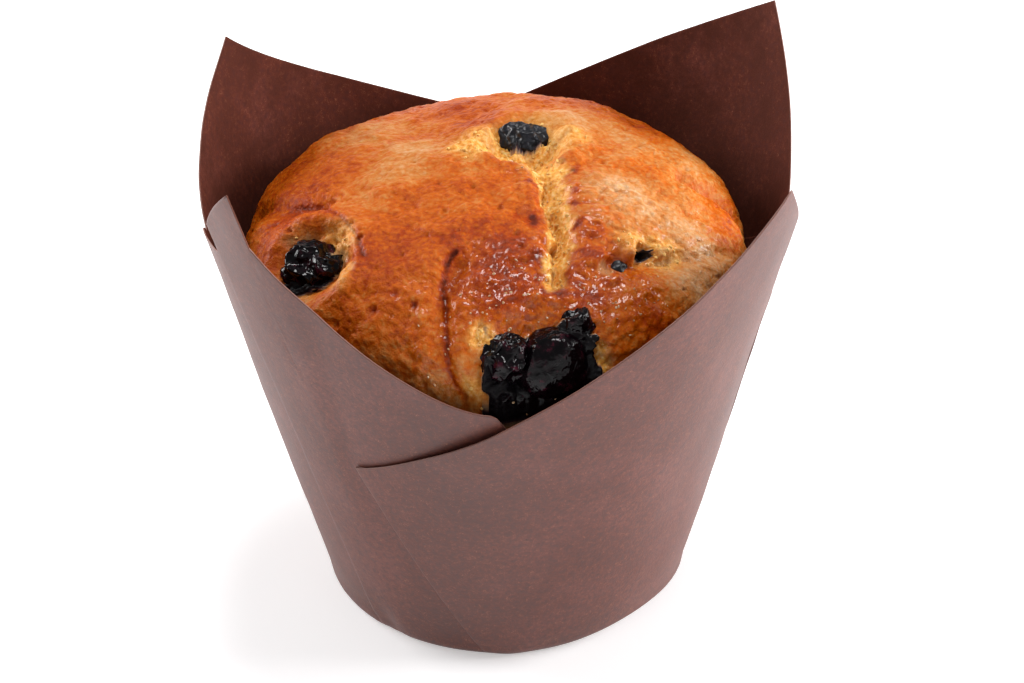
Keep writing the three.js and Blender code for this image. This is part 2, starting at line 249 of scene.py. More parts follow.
def add_chain(tree: Tree, kind: str, start: Socket, names: tuple, rows: list[tuple], **settings) -> Socket:
    """Adds nodes that each work on the one before.

    Args:
        tree: The tree.
        kind: The nodes' type.
        start: What feeds the first node.
        names: Names or numbers of the inputs: the one for the node before, then those that a row fills.
        rows: Each node's other inputs.
        **settings: The nodes' own settings.

    Returns:
        The last node's output.
    """
    for row in rows:
        node = add_node(tree, kind, dict(zip(names, (start, *row))), **settings)
        start = next(output for output in node.outputs if output.enabled)
    return start


def fineness(size: float) -> float:
    """A pattern's scale, worked out from its real size in millimetres."""
    return 1 / (size * MM)


def new_material(name: str) -> tuple[bpy.types.Material, Tree, Node]:
    """Makes an empty node material.

    Args:
        name: The material's name.

    Returns:
        The material, its tree and its Principled node.
    """
    material = bpy.data.materials.new(name)
    material.use_nodes = True
    tree = material.node_tree
    tree.nodes.clear()
    shader = add_node(tree, "ShaderNodeBsdfPrincipled")
    add_node(tree, "ShaderNodeOutputMaterial", {"Surface": shader.outputs[0]})
    return material, tree, shader


def new_tree(name: str, inputs: dict[str, str]) -> tuple[Tree, Socket]:
    """Makes a Geometry Nodes tree with named inputs and one geometry output.

    Args:
        name: The tree's name.
        inputs: For each input's name, its kind of socket.

    Returns:
        The tree and its inputs' sockets.
    """
    tree = bpy.data.node_groups.new(name, "GeometryNodeTree")
    for title, kind in inputs.items():
        tree.interface.new_socket(title, in_out="INPUT", socket_type="NodeSocket" + kind)
    tree.interface.new_socket("Result", in_out="OUTPUT", socket_type="NodeSocketGeometry")
    return tree, add_node(tree, "NodeGroupInput").outputs


def end_tree(tree: Tree, geometry: Socket, materials: list[tuple]) -> None:
    """Ends a Geometry Nodes tree: instances are made real and get their materials.

    Args:
        tree: The tree.
        geometry: What it has made.
        materials: Each material's socket, and the selection it is for unless it is for everything.
    """
    real = add_node(tree, "GeometryNodeRealizeInstances", {"Geometry": geometry}).outputs[0]
    names = ("Geometry", "Material", "Selection")
    add_node(tree, "NodeGroupOutput", {0: add_chain(tree, "GeometryNodeSetMaterial", real, names, materials)})


def grid_faces(rows: int, columns: int, around: bool = False) -> Array:
    """Quads of a grid whose points run along its columns, row by row.

    Args:
        rows: Number of rows.
        columns: Number of columns.
        around: Joins the last column to the first.

    Returns:
        Four point numbers for each face.
    """
    i = np.arange(columns if around else columns - 1)
    j = np.arange(rows - 1)[:, None] * columns
    a, b = j + i, j + (i + 1) % columns
    return np.stack([a, b, b + columns, a + columns], -1).reshape(-1, 4)


def new_object(name: str, data: bpy.types.ID) -> bpy.types.Object:
    """Puts a mesh, light or camera into the scene.

    Args:
        name: The object's name.
        data: What it shows.

    Returns:
        The object, at the origin.
    """
    piece = bpy.data.objects.new(name, data)
    bpy.context.scene.collection.objects.link(piece)
    return piece


def mesh_object(name: str, points: Array, faces: list, material: bpy.types.Material) -> bpy.types.Object:
    """Makes a smooth-shaded object from points in millimetres.

    Args:
        name: The object's name.
        points: Places in millimetres.
        faces: Point numbers of each face.
        material: Its only material.

    Returns:
        The object, at the origin and linked to the scene.
    """
    mesh = bpy.data.meshes.new(name)
    mesh.from_pydata((points * MM).tolist(), [], [list(map(int, face)) for face in faces])
    mesh.materials.append(material)
    mesh.shade_smooth()
    mesh.update()
    return new_object(name, mesh)


def store(piece: bpy.types.Object, name: str, values: Array) -> None:
    """Keeps one number for each point of a piece, for its material to read."""
    layer = piece.data.attributes.new(name, "FLOAT", "POINT")
    layer.data.foreach_set("value", values.astype(np.float32))


def apply_tree(piece: bpy.types.Object, tree: Tree, values: dict) -> None:
    """Runs a Geometry Nodes tree on a piece and keeps the result as its plain mesh.

    Args:
        piece: The object whose mesh goes in and is replaced.
        tree: The node tree.
        values: The tree's inputs by name.
    """
    modifier = piece.modifiers.new(tree.name, "NODES")
    modifier.node_group = tree
    for item in tree.interface.items_tree:
        if item.item_type == "SOCKET" and item.in_out == "INPUT" and item.name in values:
            modifier[item.identifier] = values[item.name]
    bpy.context.view_layer.update()
    evaluated = piece.evaluated_get(bpy.context.evaluated_depsgraph_get())
    result = bpy.data.meshes.new_from_object(evaluated)
    piece.modifiers.remove(modifier)
    piece.data = result
    piece.data.name = piece.name


def declare(piece: bpy.types.Object, node: str = "") -> None:
    """Ties a piece to the part.

    Args:
        piece: The finished object.
        node: The CAD node that it stands for, if any.
    """
    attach(piece, ROOT)
    if node:
        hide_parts(node)
    LOG.info("%s: %d faces", piece.name, len(piece.data.polygons))


# ---- Tulip case ----


@dataclass(frozen=True)
class Petal:
    """One pointed petal of the case. A place is (azimuth, slant height above the base edge).

    Its edges run from the tip to an inner and an outer fold, bent by their bows and drawn in near the
    tip by the spike. The flare leans the tip outwards. The folds of two petals meet at the foot's
    azimuth. A corner and a step break the inner edge.
    """

    tip: tuple[float, float]
    inner: tuple[float, float]
    outer: tuple[float, float]
    bows: tuple[float, float]
    spike: float
    flare: float
    foot: float
    corner: tuple[float, float] | None = None
    step: tuple[float, float] | None = None

    def rim(self, azimuth: Array, point_bow: float) -> Array:
        """Slant height of the petal's edge.

        Args:
            azimuth: Degrees.
            point_bow: How sharply the point stands out.

        Returns:
            One slant height for each azimuth.
        """
        inner = azimuth > self.tip[0]
        corner = self.corner or self.inner
        step = self.step or self.tip
        fold = np.where(inner, corner[0], self.outer[0])
        low = np.where(inner, corner[1], self.outer[1])
        bow = np.where(inner, self.bows[0], self.bows[1])
        top = np.where(inner, step[0], self.tip[0])
        high = np.where(inner, step[1], self.tip[1])
        share = np.clip((azimuth - top) / (fold - top), 0, 1)
        rise = lerp((1 - share) ** bow, (1 - share) ** point_bow, self.spike)
        on_step = np.where(inner, np.clip((step[0] - azimuth) / max(step[0] - self.tip[0], 0.01), 0, 1), 0)
        past = np.clip((azimuth - corner[0]) / max(self.inner[0] - corner[0], 1), 0, 1)
        drop = (corner[1] - self.inner[1]) * (np.sqrt(past) if self.inner[1] > corner[1] else past)
        return low + (high - low) * rise + on_step * (self.tip[1] - high) - drop


@dataclass(frozen=True)
class Press:
    """A place where the paper's wall stands off, or is pushed in, by hand: millimetres outwards."""

    azimuth: float
    slant: float
    spread: float
    height: float
    push: float


@dataclass(frozen=True)
class BakingPaper:
    """Brown greaseproof baking paper, calendered: tight, slightly waxy, with short fibres in it.

    The waxy face gives a pale sheen where it is seen edge on.
    """

    fibre_mm: float = 0.9
    speck_mm: float = 1.3
    cloud_mm: float = 14.0
    grease_and_shade_mm: float = 6.0
    heather_mm: float = 0.8
    grain_mm: float = 0.5
    thread_width: float = 0.012
    roughness: float = 0.52
    lining_roughness: float = 0.8
    gloss: float = 0.42
    lining_gloss: float = 0.04
    ior: float = 1.6
    dark: str = "#4E241A"
    plain: str = "#582A1F"
    pale: str = "#62332A"
    slate: str = "#3F2422"
    speck: str = "#2C1712"
    fibre: str = "#A46A4C"
    edge: str = "#74493D"
    # Colour of grease stains on the inner face, which also serves as painted shade inside the cup.
    grease_and_shade: str = "#452117"

    def make(self, lining: bool = False) -> bpy.types.Material:
        """Builds the material.

        Args:
            lining: Whether it is the inner face, dulled by grease and darkened by grease stains and by
                painted shade, or the clean outer face.

        Returns:
            The material.
        """
        material, tree, shader = new_material("greased_shaded_paper_lining" if lining else "brown_greaseproof_paper")
        place = add_node(tree, "ShaderNodeTexCoord").outputs["Object"]
        patterns = {
            "cloud": (place, fineness(self.cloud_mm), 5.0, 0.6),
            "heather": (place, fineness(self.heather_mm), 4.0, 0.7),
            "fibre": (place, fineness(self.fibre_mm), 2.0, 0.5, 2.5),
            "grease_and_shade": (place, fineness(self.grease_and_shade_mm), 7.0, 0.72),
            "grain": (place, fineness(self.grain_mm), 4.0, 0.65),
        }
        found = add_each(tree, "ShaderNodeTexNoise", NOISE, patterns)
        found |= add_each(tree, "ShaderNodeTexVoronoi", NOISE, {"speck": (place, fineness(self.speck_mm))})
        shares = {
            "slate": (found["heather"], 0.45, 0.65, 0.0, 0.6),
            "shown": (found["heather"], 0.5, 0.38, 0.0, 0.5),
            "specks": (found["speck"], 0.11, 0.05, 0.0, 0.6),
            "greasy_and_shaded": (found["grease_and_shade"], 0.38, 0.62, 0.1, 0.9),
        }
        found |= add_each(tree, "ShaderNodeMapRange", SPAN, shares)
        near = {0: found["fibre"], 1: 0.5, 2: self.thread_width}
        thread = add_node(tree, "ShaderNodeMath", near, operation="COMPARE")
        clouded = {0: thread.outputs[0], 1: found["shown"]}
        threads = add_node(tree, "ShaderNodeMath", clouded, operation="MULTIPLY")
        layers = [
            (found["slate"], self.slate),
            (threads.outputs[0], self.fibre),
            (found["specks"], self.speck),
        ]
        # The inner face gets blots of the grease colour: partly real grease stains, partly painted shade
        # inside the cup.
        if lining:
            layers.append((found["greasy_and_shaded"], self.grease_and_shade))
        edge = add_node(tree, "ShaderNodeAttribute", attribute_name="cut_edge")
        layers.append((edge.outputs["Fac"], self.edge))
        stops = ((0.3, self.dark), (0.5, self.plain), (0.7, self.pale))
        ground = add_node(tree, "ShaderNodeValToRGB", {"Fac": found["cloud"]}, stops).outputs[0]
        covers = [(share, linear(tint)) for share, tint in layers]
        height = add_node(tree, "ShaderNodeMath", {0: found["grain"], 1: found["fibre"]}, operation="ADD")
        bump = {"Height": height.outputs[0], "Strength": 0.35, "Distance": 0.08 * MM}
        looks = {
            "Base Color": add_chain(tree, "ShaderNodeMix", ground, (6, 0, 7), covers, data_type="RGBA"),
            "Normal": add_node(tree, "ShaderNodeBump", bump).outputs[0],
            "Roughness": self.lining_roughness if lining else self.roughness,
            "Specular IOR Level": self.lining_gloss if lining else self.gloss,
            "IOR": self.ior,
        }
        connect(shader, looks)
        return material


def thickness_tree() -> Tree:
    """A Geometry Nodes tree that gives a sheet its thickness, marks its cut edges and lines its inner face.

    Returns:
        The tree.
    """
    inputs = {"Sheet": "Geometry", "Thickness": "Float", "Paper": "Material", "Lining": "Material"}
    tree, given = new_tree("paper thickness", inputs)
    normal = add_node(tree, "GeometryNodeInputNormal").outputs[0]
    half = add_node(tree, "ShaderNodeMath", {0: given["Thickness"], 1: -0.5}, operation="MULTIPLY")
    inwards = add_node(tree, "ShaderNodeVectorMath", {0: normal, "Scale": half.outputs[0]}, operation="SCALE")
    sheet = {"Geometry": given["Sheet"], "Offset": inwards.outputs[0]}
    inner = add_node(tree, "GeometryNodeSetPosition", sheet)
    grown = {"Mesh": inner.outputs[0], "Offset Scale": given["Thickness"], "Individual": False}
    outer = add_node(tree, "GeometryNodeExtrudeMesh", grown)
    sides = {"Geometry": outer.outputs["Mesh"], "Name": "cut_edge", "Value": outer.outputs["Side"]}
    marked = add_node(tree, "GeometryNodeStoreNamedAttribute", sides, data_type="FLOAT", domain="FACE")
    turned = add_node(tree, "GeometryNodeFlipFaces", {"Mesh": inner.outputs[0]})
    both = add_node(tree, "GeometryNodeJoinGeometry", {0: turned.outputs[0]})
    connect(both, {0: marked.outputs[0]})
    joined = add_node(tree, "GeometryNodeMergeByDistance", {"Geometry": both.outputs[0], "Distance": 1e-6})
    place = add_node(tree, "GeometryNodeInputPosition").outputs[0]
    level = add_node(tree, "ShaderNodeVectorMath", {0: place, 1: (1.0, 1.0, 0.0)}, operation="MULTIPLY")
    facing = add_node(tree, "ShaderNodeVectorMath", {0: level.outputs[0], 1: normal}, operation="DOT_PRODUCT")
    towards = add_node(tree, "ShaderNodeMath", {0: facing.outputs["Value"], 1: 0.0}, operation="LESS_THAN")
    end_tree(tree, joined.outputs[0], [(given["Paper"],), (given["Lining"], towards.outputs[0])])
    return tree


@dataclass
class TulipCase:
    """The square of baking paper pressed into a cup: a cone on its small end, four petals and four pleats."""

    base_radius: float = 25.0
    lean: float = math.radians(15.54)
    paper: float = 0.2
    layer_pitch: float = 0.28
    step_rise: float = 4.0
    foot_lap: float = 2.0
    foot_round: float = 0.7
    foot_height: float = 1.4
    fold_bulge: float = 0.3
    point_bow: float = 12.0
    flare_start: float = 46.0
    flare_reach: float = 34.0
    flare_spread: float = 24.0
    rim_passes: int = 12
    rim_step: float = 0.6
    fold_shifts: tuple[float, float, float] = (0.6, 1.0, 0.6)
    fold_layers: tuple[Place, ...] = ((1.85, 1.5, 1.15), (0.85, 0.5, 0.15))
    wave_height: float = 0.22
    ripple_height: float = 0.06
    floor_gap: float = 0.02
    floor_radii: tuple[float, ...] = (0.6, 4, 8, 12, 16, 18, 20, 21.5, 23, 24.2)
    column_step: float = 1.3
    rows: int = 64
    base_lift: Press = Press(-42, 0, 26, 14, 1.3)
    petals: tuple[Petal, ...] = (
        Petal((-31.7, 78.3), (53, 38), (-125.8, 35.9), (1.6, 1.17), 0.04, 0.6, -95),
        Petal(
            (-138.3, 84.6), (-84, 42), (-152, 72.8), (1.57, 0.9), 0, 0.4, -133, (-91.9, 51.2), (-137.4, 75)
        ),
        Petal((-213, 75.6), (-134, 69), (-287, 50.5), (0.95, 1.8), 0.06, 0, -268, (-176, 59.3)),
        Petal((-327.9, 79.6), (-253, 50.5), (-365, 47.5), (1.45, 1), 0, 0, -356),
    )
    presses: tuple[Press, ...] = (
        Press(-97, 47, 13, 9, 0.75),
        Press(-131, 2, 4, 3, -0.5),
        Press(-90, 1, 6, 3, 0.35),
    )

    @property
    def apex(self) -> float:
        """Slant distance from the cone's missing point to the base edge."""
        return self.base_radius / math.sin(self.lean)

    def crease(self, foot: float, place: tuple[float, float], slant: Array) -> Array:
        """Azimuth of a fold that is straight in the flat sheet.

        Args:
            foot: Its azimuth at the base edge.
            place: Azimuth and slant height of its top.
            slant: Slant heights that are asked for.

        Returns:
            One azimuth for each slant height.
        """
        along = np.minimum(slant, place[1])
        share = along / (self.apex + along) / (place[1] / (self.apex + place[1]))
        return lerp(foot, place[0], share)

    def outer_crease(self, index: int, slant: Array) -> Array:
        """Where the petal folds back."""
        petal = self.petals[index]
        return self.crease(petal.foot - self.foot_lap, petal.outer, slant)

    def next_inner(self, index: int) -> tuple[float, float]:
        """Inner fold of the petal after this one, on this petal's turn."""
        azimuth, slant = self.petals[(index + 1) % len(self.petals)].inner
        return (azimuth - 360, slant) if index == len(self.petals) - 1 else (azimuth, slant)

    def inner_crease(self, index: int, slant: Array) -> Array:
        """Where the next petal begins, tucked under this one."""
        return self.crease(self.petals[index].foot + self.foot_lap, self.next_inner(index), slant)

    def petal_columns(self, index: int) -> tuple[Array, ...]:
        """The sheet of a petal, from its inner fold to its outer one.

        Args:
            index: Number of the petal.

        Returns:
            Azimuth, slant, layer and owner, rows by columns.
        """
        petal = self.petals[index]
        before = (index - 1) % len(self.petals)
        turn = 360 if index == 0 else 0
        width = petal.inner[0] - petal.outer[0]
        marks = (petal.corner or petal.inner, petal.step or petal.tip, petal.tip, petal.outer)
        breaks = [(petal.inner[0] - place[0]) / width for place in marks]
        part = np.zeros(1)
        for mark in breaks:
            steps = math.ceil((mark - part[-1]) * width / self.column_step)
            part = np.concatenate([part, np.linspace(part[-1], mark, steps + 1)[1:]])

        def azimuth_at(slant: Array) -> Array:
            """Azimuth of each column at a slant height."""
            return lerp(self.inner_crease(before, slant) + turn, self.outer_crease(index, slant), part)

        rim = np.full(len(part), petal.tip[1])
        for _ in range(self.rim_passes):
            rim = lerp(rim, petal.rim(azimuth_at(rim), self.point_bow), self.rim_step)
        slant = self.row_shares()[:, None] * rim
        azimuth = azimuth_at(slant)
        start = self.outer_crease(before, slant) + turn
        end = self.inner_crease(index, slant)
        layer = 2 * smoothstep((start - azimuth) / np.maximum(start - end, 1), 0.03, 0.97)
        return azimuth, slant, layer, np.broadcast_to(float(index), azimuth.shape)

    def row_shares(self) -> Array:
        """Rows, closer together at the foot and the rim."""
        even = np.linspace(0, 1, self.rows)
        return even - 0.11 * np.sin(2 * np.pi * even)

    def return_columns(self, index: int) -> tuple[Array, ...]:
        """The paper that turns back under a petal, with its two folds.

        Args:
            index: Number of the petal.

        Returns:
            Azimuth, slant, layer and owner, rows by columns.
        """
        petal = self.petals[index]
        inner = self.next_inner(index)
        inside = max(4, math.ceil((inner[0] - petal.outer[0]) / self.column_step / 1.5))
        part = np.concatenate([[0, 0], np.linspace(0, 1, inside), [1, 1]])
        round_fold = np.array(self.fold_shifts)
        shift = np.concatenate([-round_fold, np.zeros(inside - 2), round_fold])
        layer = np.concatenate([self.fold_layers[0], np.ones(inside - 2), self.fold_layers[1]])
        rim = lerp(petal.outer[1], inner[1], part)
        slant = self.row_shares()[:, None] * rim
        bulge = np.degrees(self.fold_bulge / (self.base_radius + slant * math.sin(self.lean)))
        azimuth = lerp(self.outer_crease(index, slant), self.inner_crease(index, slant), part) + shift * bulge
        shape = azimuth.shape
        return azimuth, slant, np.broadcast_to(layer, shape), np.broadcast_to(float(index), shape)

    def wall_points(self, azimuth: Array, slant: Array, layer: Array, owner: Array) -> Array:
        """Places of the wall's sheet.

        Args:
            azimuth: Degrees.
            slant: Height along the wall.
            layer: 0 for the innermost paper to 2 for the outermost.
            owner: Number of the petal that the paper belongs to.

        Returns:
            One row of x, y, z for each given value.
        """
        azimuth, slant, layer, owner = (
            np.asarray(values, float).reshape(-1) for values in (azimuth, slant, layer, owner)
        )
        settled = self.layer_pitch * (layer - 1) * smoothstep(slant, 0, self.step_rise)
        radius = self.base_radius + slant * math.sin(self.lean) + settled
        rise = np.maximum(0, slant - self.flare_start) / self.flare_reach
        for index, petal in enumerate(self.petals):
            mine = owner == index
            near = bell(wrap(azimuth - petal.tip[0]), self.flare_spread)
            radius += np.where(mine, petal.flare * rise**2 * near, 0)
        for press in self.presses:
            near = bell(wrap(azimuth - press.azimuth), press.spread) * bell(slant - press.slant, press.height)
            radius += press.push * near * np.clip(layer if press.slant > 20 else 1, 0, 1)
        inset = np.clip(1 - slant / self.foot_height, 0, 1)
        radius -= self.foot_round * inset**2
        turn = np.radians(azimuth)
        raised = self.lift(azimuth) * np.maximum(0, 1 - slant / self.base_lift.height) ** 2
        height = slant * math.cos(self.lean) + raised + self.paper / 2
        points = np.stack([radius * np.cos(turn), radius * np.sin(turn), height], 1)
        wave = self.wave_height * noise(points * [1, 1, 0.45], 13, 3)
        wave += self.ripple_height * noise(points, 5, 4)
        outwards = np.stack([np.cos(turn), np.sin(turn), np.zeros(len(turn))], 1)
        return points + outwards * (wave * smoothstep(slant, 1, 12))[:, None]

    def lift(self, azimuth: Array) -> Array:
        """How far the base edge stands off the table."""
        return self.base_lift.push * bell(wrap(azimuth - self.base_lift.azimuth), self.base_lift.spread)

    def bottom(self, columns: int = 120) -> tuple[Array, Array]:
        """The round bottom of the cup.

        Args:
            columns: Points around it.

        Returns:
            Its points and faces.
        """
        azimuth, radius = np.meshgrid(np.linspace(0, 360, columns, endpoint=False), self.floor_radii)
        raised = self.lift(azimuth) * smoothstep(radius, 17, self.base_radius)
        turn = np.radians(azimuth)
        height = raised + self.paper / 2 + self.floor_gap
        points = np.stack([radius * np.cos(turn), radius * np.sin(turn), height], -1)
        points = np.concatenate([points.reshape(-1, 3), [[0, 0, self.paper / 2 + self.floor_gap]]])
        faces = [list(face) for face in grid_faces(len(radius), columns, around=True)[:, ::-1]]
        faces += [[len(points) - 1, i, (i + 1) % columns] for i in range(columns)]
        return points, faces

    def build(self, finish: BakingPaper) -> bpy.types.Object:
        """Folds the case.

        Args:
            finish: Its paper.

        Returns:
            The finished piece, which stands for the CAD case.
        """
        parts = []
        for index in range(len(self.petals)):
            parts += [self.petal_columns(index), self.return_columns(index)]
        sheet = [np.concatenate([part[n] for part in parts], 1) for n in range(4)]
        rows, columns = sheet[0].shape
        wall = self.wall_points(*sheet)
        faces = [list(face) for face in grid_faces(rows, columns, around=True)[:, ::-1]]
        floor_points, floor_faces = self.bottom()
        faces += [[n + len(wall) for n in face] for face in floor_faces]
        paper = finish.make()
        piece = mesh_object("tulip_case", np.concatenate([wall, floor_points]), faces, paper)
        inputs = {"Thickness": self.paper * MM, "Paper": paper, "Lining": finish.make(lining=True)}
        apply_tree(piece, thickness_tree(), inputs)
        piece.data.shade_smooth()
        declare(piece, "paper_case")
        return piece


# ---- Muffin ----


@dataclass(frozen=True)
class Spot:
    """A round mark or hollow on the crust: its middle, reach, depth or strength, and its lip's height."""

    at: Place
    reach: float
    depth: float
    lip: float = 0.0


Spots = tuple[Spot, ...]


@dataclass(frozen=True)
class Furrow:
    """A line along the crust: its points, its reach to each side and its depth or strength."""

    line: tuple[Place, ...]
    reach: float
    depth: float


@dataclass(frozen=True)
class Browning:
    """How dark the crust's colour is: its ground, and what height, clouds, spots and edges add or take off.
    The rise with height is partly real browning on top and partly painted light, which leaves the low crust,
    shaded by the case, paler; the seam and ring are drawn darker.
    """

    ground: float = 0.31
    # Partly real browning on top, partly painted light: the low crust, in the case's shade, is left paler.
    height: float = 0.23
    heights: tuple[float, float] = (48.0, 62.0)
    cloud: float = 0.14
    cloud_mm: float = 11.0
    dark: float = 0.6
    pale: float = 0.75
    seam: float = 0.36
    ring: float = 0.22
    crack: float = 0.4


@dataclass(frozen=True)
class BakedCrust:
    """Baked cake crust: browned sugar and egg over soft crumb, sticky where juice boiled out and dried.

    Browned skin is satin, torn crumb is matt and golden, and the sticky parts are glossy as varnish.
    """

    pore_mm: float = 0.8
    grain_mm: float = 0.5
    mottle_mm: float = 2.6
    drop_mm: float = 1.6
    fleck_mm: float = 0.6
    coat_ior: float = 1.35
    coat_roughness: float = 0.06
    ior: float = 1.45
    gloss: float = 0.14
    scatter: float = 0.2
    scatter_mm: tuple[float, float, float] = (1.6, 0.7, 0.3)
    browned: Stops = (
        (0.0, "#CFAE8E"),
        (0.16, "#C79463"),
        (0.34, "#BF7534"),
        (0.5, "#B95604"),
        (0.7, "#963400"),
        (1.0, "#541602"),
    )
    crumb: Stops = ((0.3, "#CA7824"), (0.5, "#EAAA4E"), (0.75, "#F6D69A"))
    stained: Stops = ((0.3, "#B98C5C"), (0.55, "#8E7058"), (0.7, "#33222A"), (0.85, "#0A0609"))

    def make(self) -> bpy.types.Material:
        """Builds the material.

        Returns:
            The material, which reads the masks that the muffin keeps on its points.
        """
        material, tree, shader = new_material("baked_cake_crust")
        place = add_node(tree, "ShaderNodeTexCoord").outputs["Object"]
        masks = {
            name: add_node(tree, "ShaderNodeAttribute", attribute_name=name).outputs["Fac"]
            for name in ("browning_and_shading", "crumb", "stain", "sticky", "wrinkled")
        }
        patterns = {
            "mottle": (place, fineness(self.mottle_mm), 6.0, 0.65),
            "fleck": (place, fineness(self.fleck_mm), 3.0, 0.6),
            "grain": (place, fineness(self.grain_mm), 2.0, 0.6),
            "drops": (place, fineness(self.drop_mm), 1.5),
        }
        found = add_each(tree, "ShaderNodeTexNoise", NOISE, patterns)
        pores = {"pores": (place, fineness(self.pore_mm))}
        found |= add_each(tree, "ShaderNodeTexVoronoi", NOISE, pores, feature="SMOOTH_F1")
        pitted = {0: found["pores"], 1: -0.8, 2: found["grain"]}
        relief = add_node(tree, "ShaderNodeMath", pitted, operation="MULTIPLY_ADD").outputs[0]
        # The speckle follows the bump: partly real speckle, partly painted shade in the pores and painted
        # sheen on the ridges.
        shares = {
            "uneven": (found["mottle"], 0.25, 0.75, -0.07, 0.07),
            "speckled_shade_and_sheen": (relief, -0.15, 0.5, 0.14, -0.1),
            "soaked": (masks["stain"], 0.1, 0.5),
            "smooth": (masks["sticky"], 0.0, 1.0, 0.46, 0.22),
        }
        found |= add_each(tree, "ShaderNodeMapRange", SPAN, shares)
        added = [(found["uneven"],), (found["speckled_shade_and_sheen"],)]
        total = add_chain(tree, "ShaderNodeMath", masks["browning_and_shading"], (0, 1), added, operation="ADD")
        ramps = ((total, self.browned), (found["fleck"], self.crumb), (masks["stain"], self.stained))
        browned, crumbs, juice = (
            add_node(tree, "ShaderNodeValToRGB", {"Fac": share}, stops).outputs[0] for share, stops in ramps
        )
        covers = [(masks["crumb"], crumbs), (found["soaked"], juice)]
        sheen = add_node(tree, "ShaderNodeMath", {0: masks["wrinkled"], 1: 0.45}, operation="MULTIPLY")
        glazed = {0: masks["sticky"], 1: 0.55, 2: sheen.outputs[0]}
        bump = {"Height": relief, "Strength": 1.0, "Distance": 0.2 * MM}
        glaze = {"Height": found["drops"], "Strength": 1.0, "Distance": 0.45 * MM}
        looks = {
            "Base Color": add_chain(tree, "ShaderNodeMix", browned, (6, 0, 7), covers, data_type="RGBA"),
            "Roughness": found["smooth"],
            "Normal": add_node(tree, "ShaderNodeBump", bump).outputs[0],
            "IOR": self.ior,
            "Specular IOR Level": self.gloss,
            "Coat Weight": add_node(tree, "ShaderNodeMath", glazed, operation="MULTIPLY_ADD").outputs[0],
            "Coat Normal": add_node(tree, "ShaderNodeBump", glaze).outputs[0],
            "Coat Roughness": self.coat_roughness,
            "Coat IOR": self.coat_ior,
            "Subsurface Weight": self.scatter,
            "Subsurface Radius": [r * MM for r in self.scatter_mm],
            "Subsurface Scale": 1.0,
        }
        connect(shader, looks)
        return material


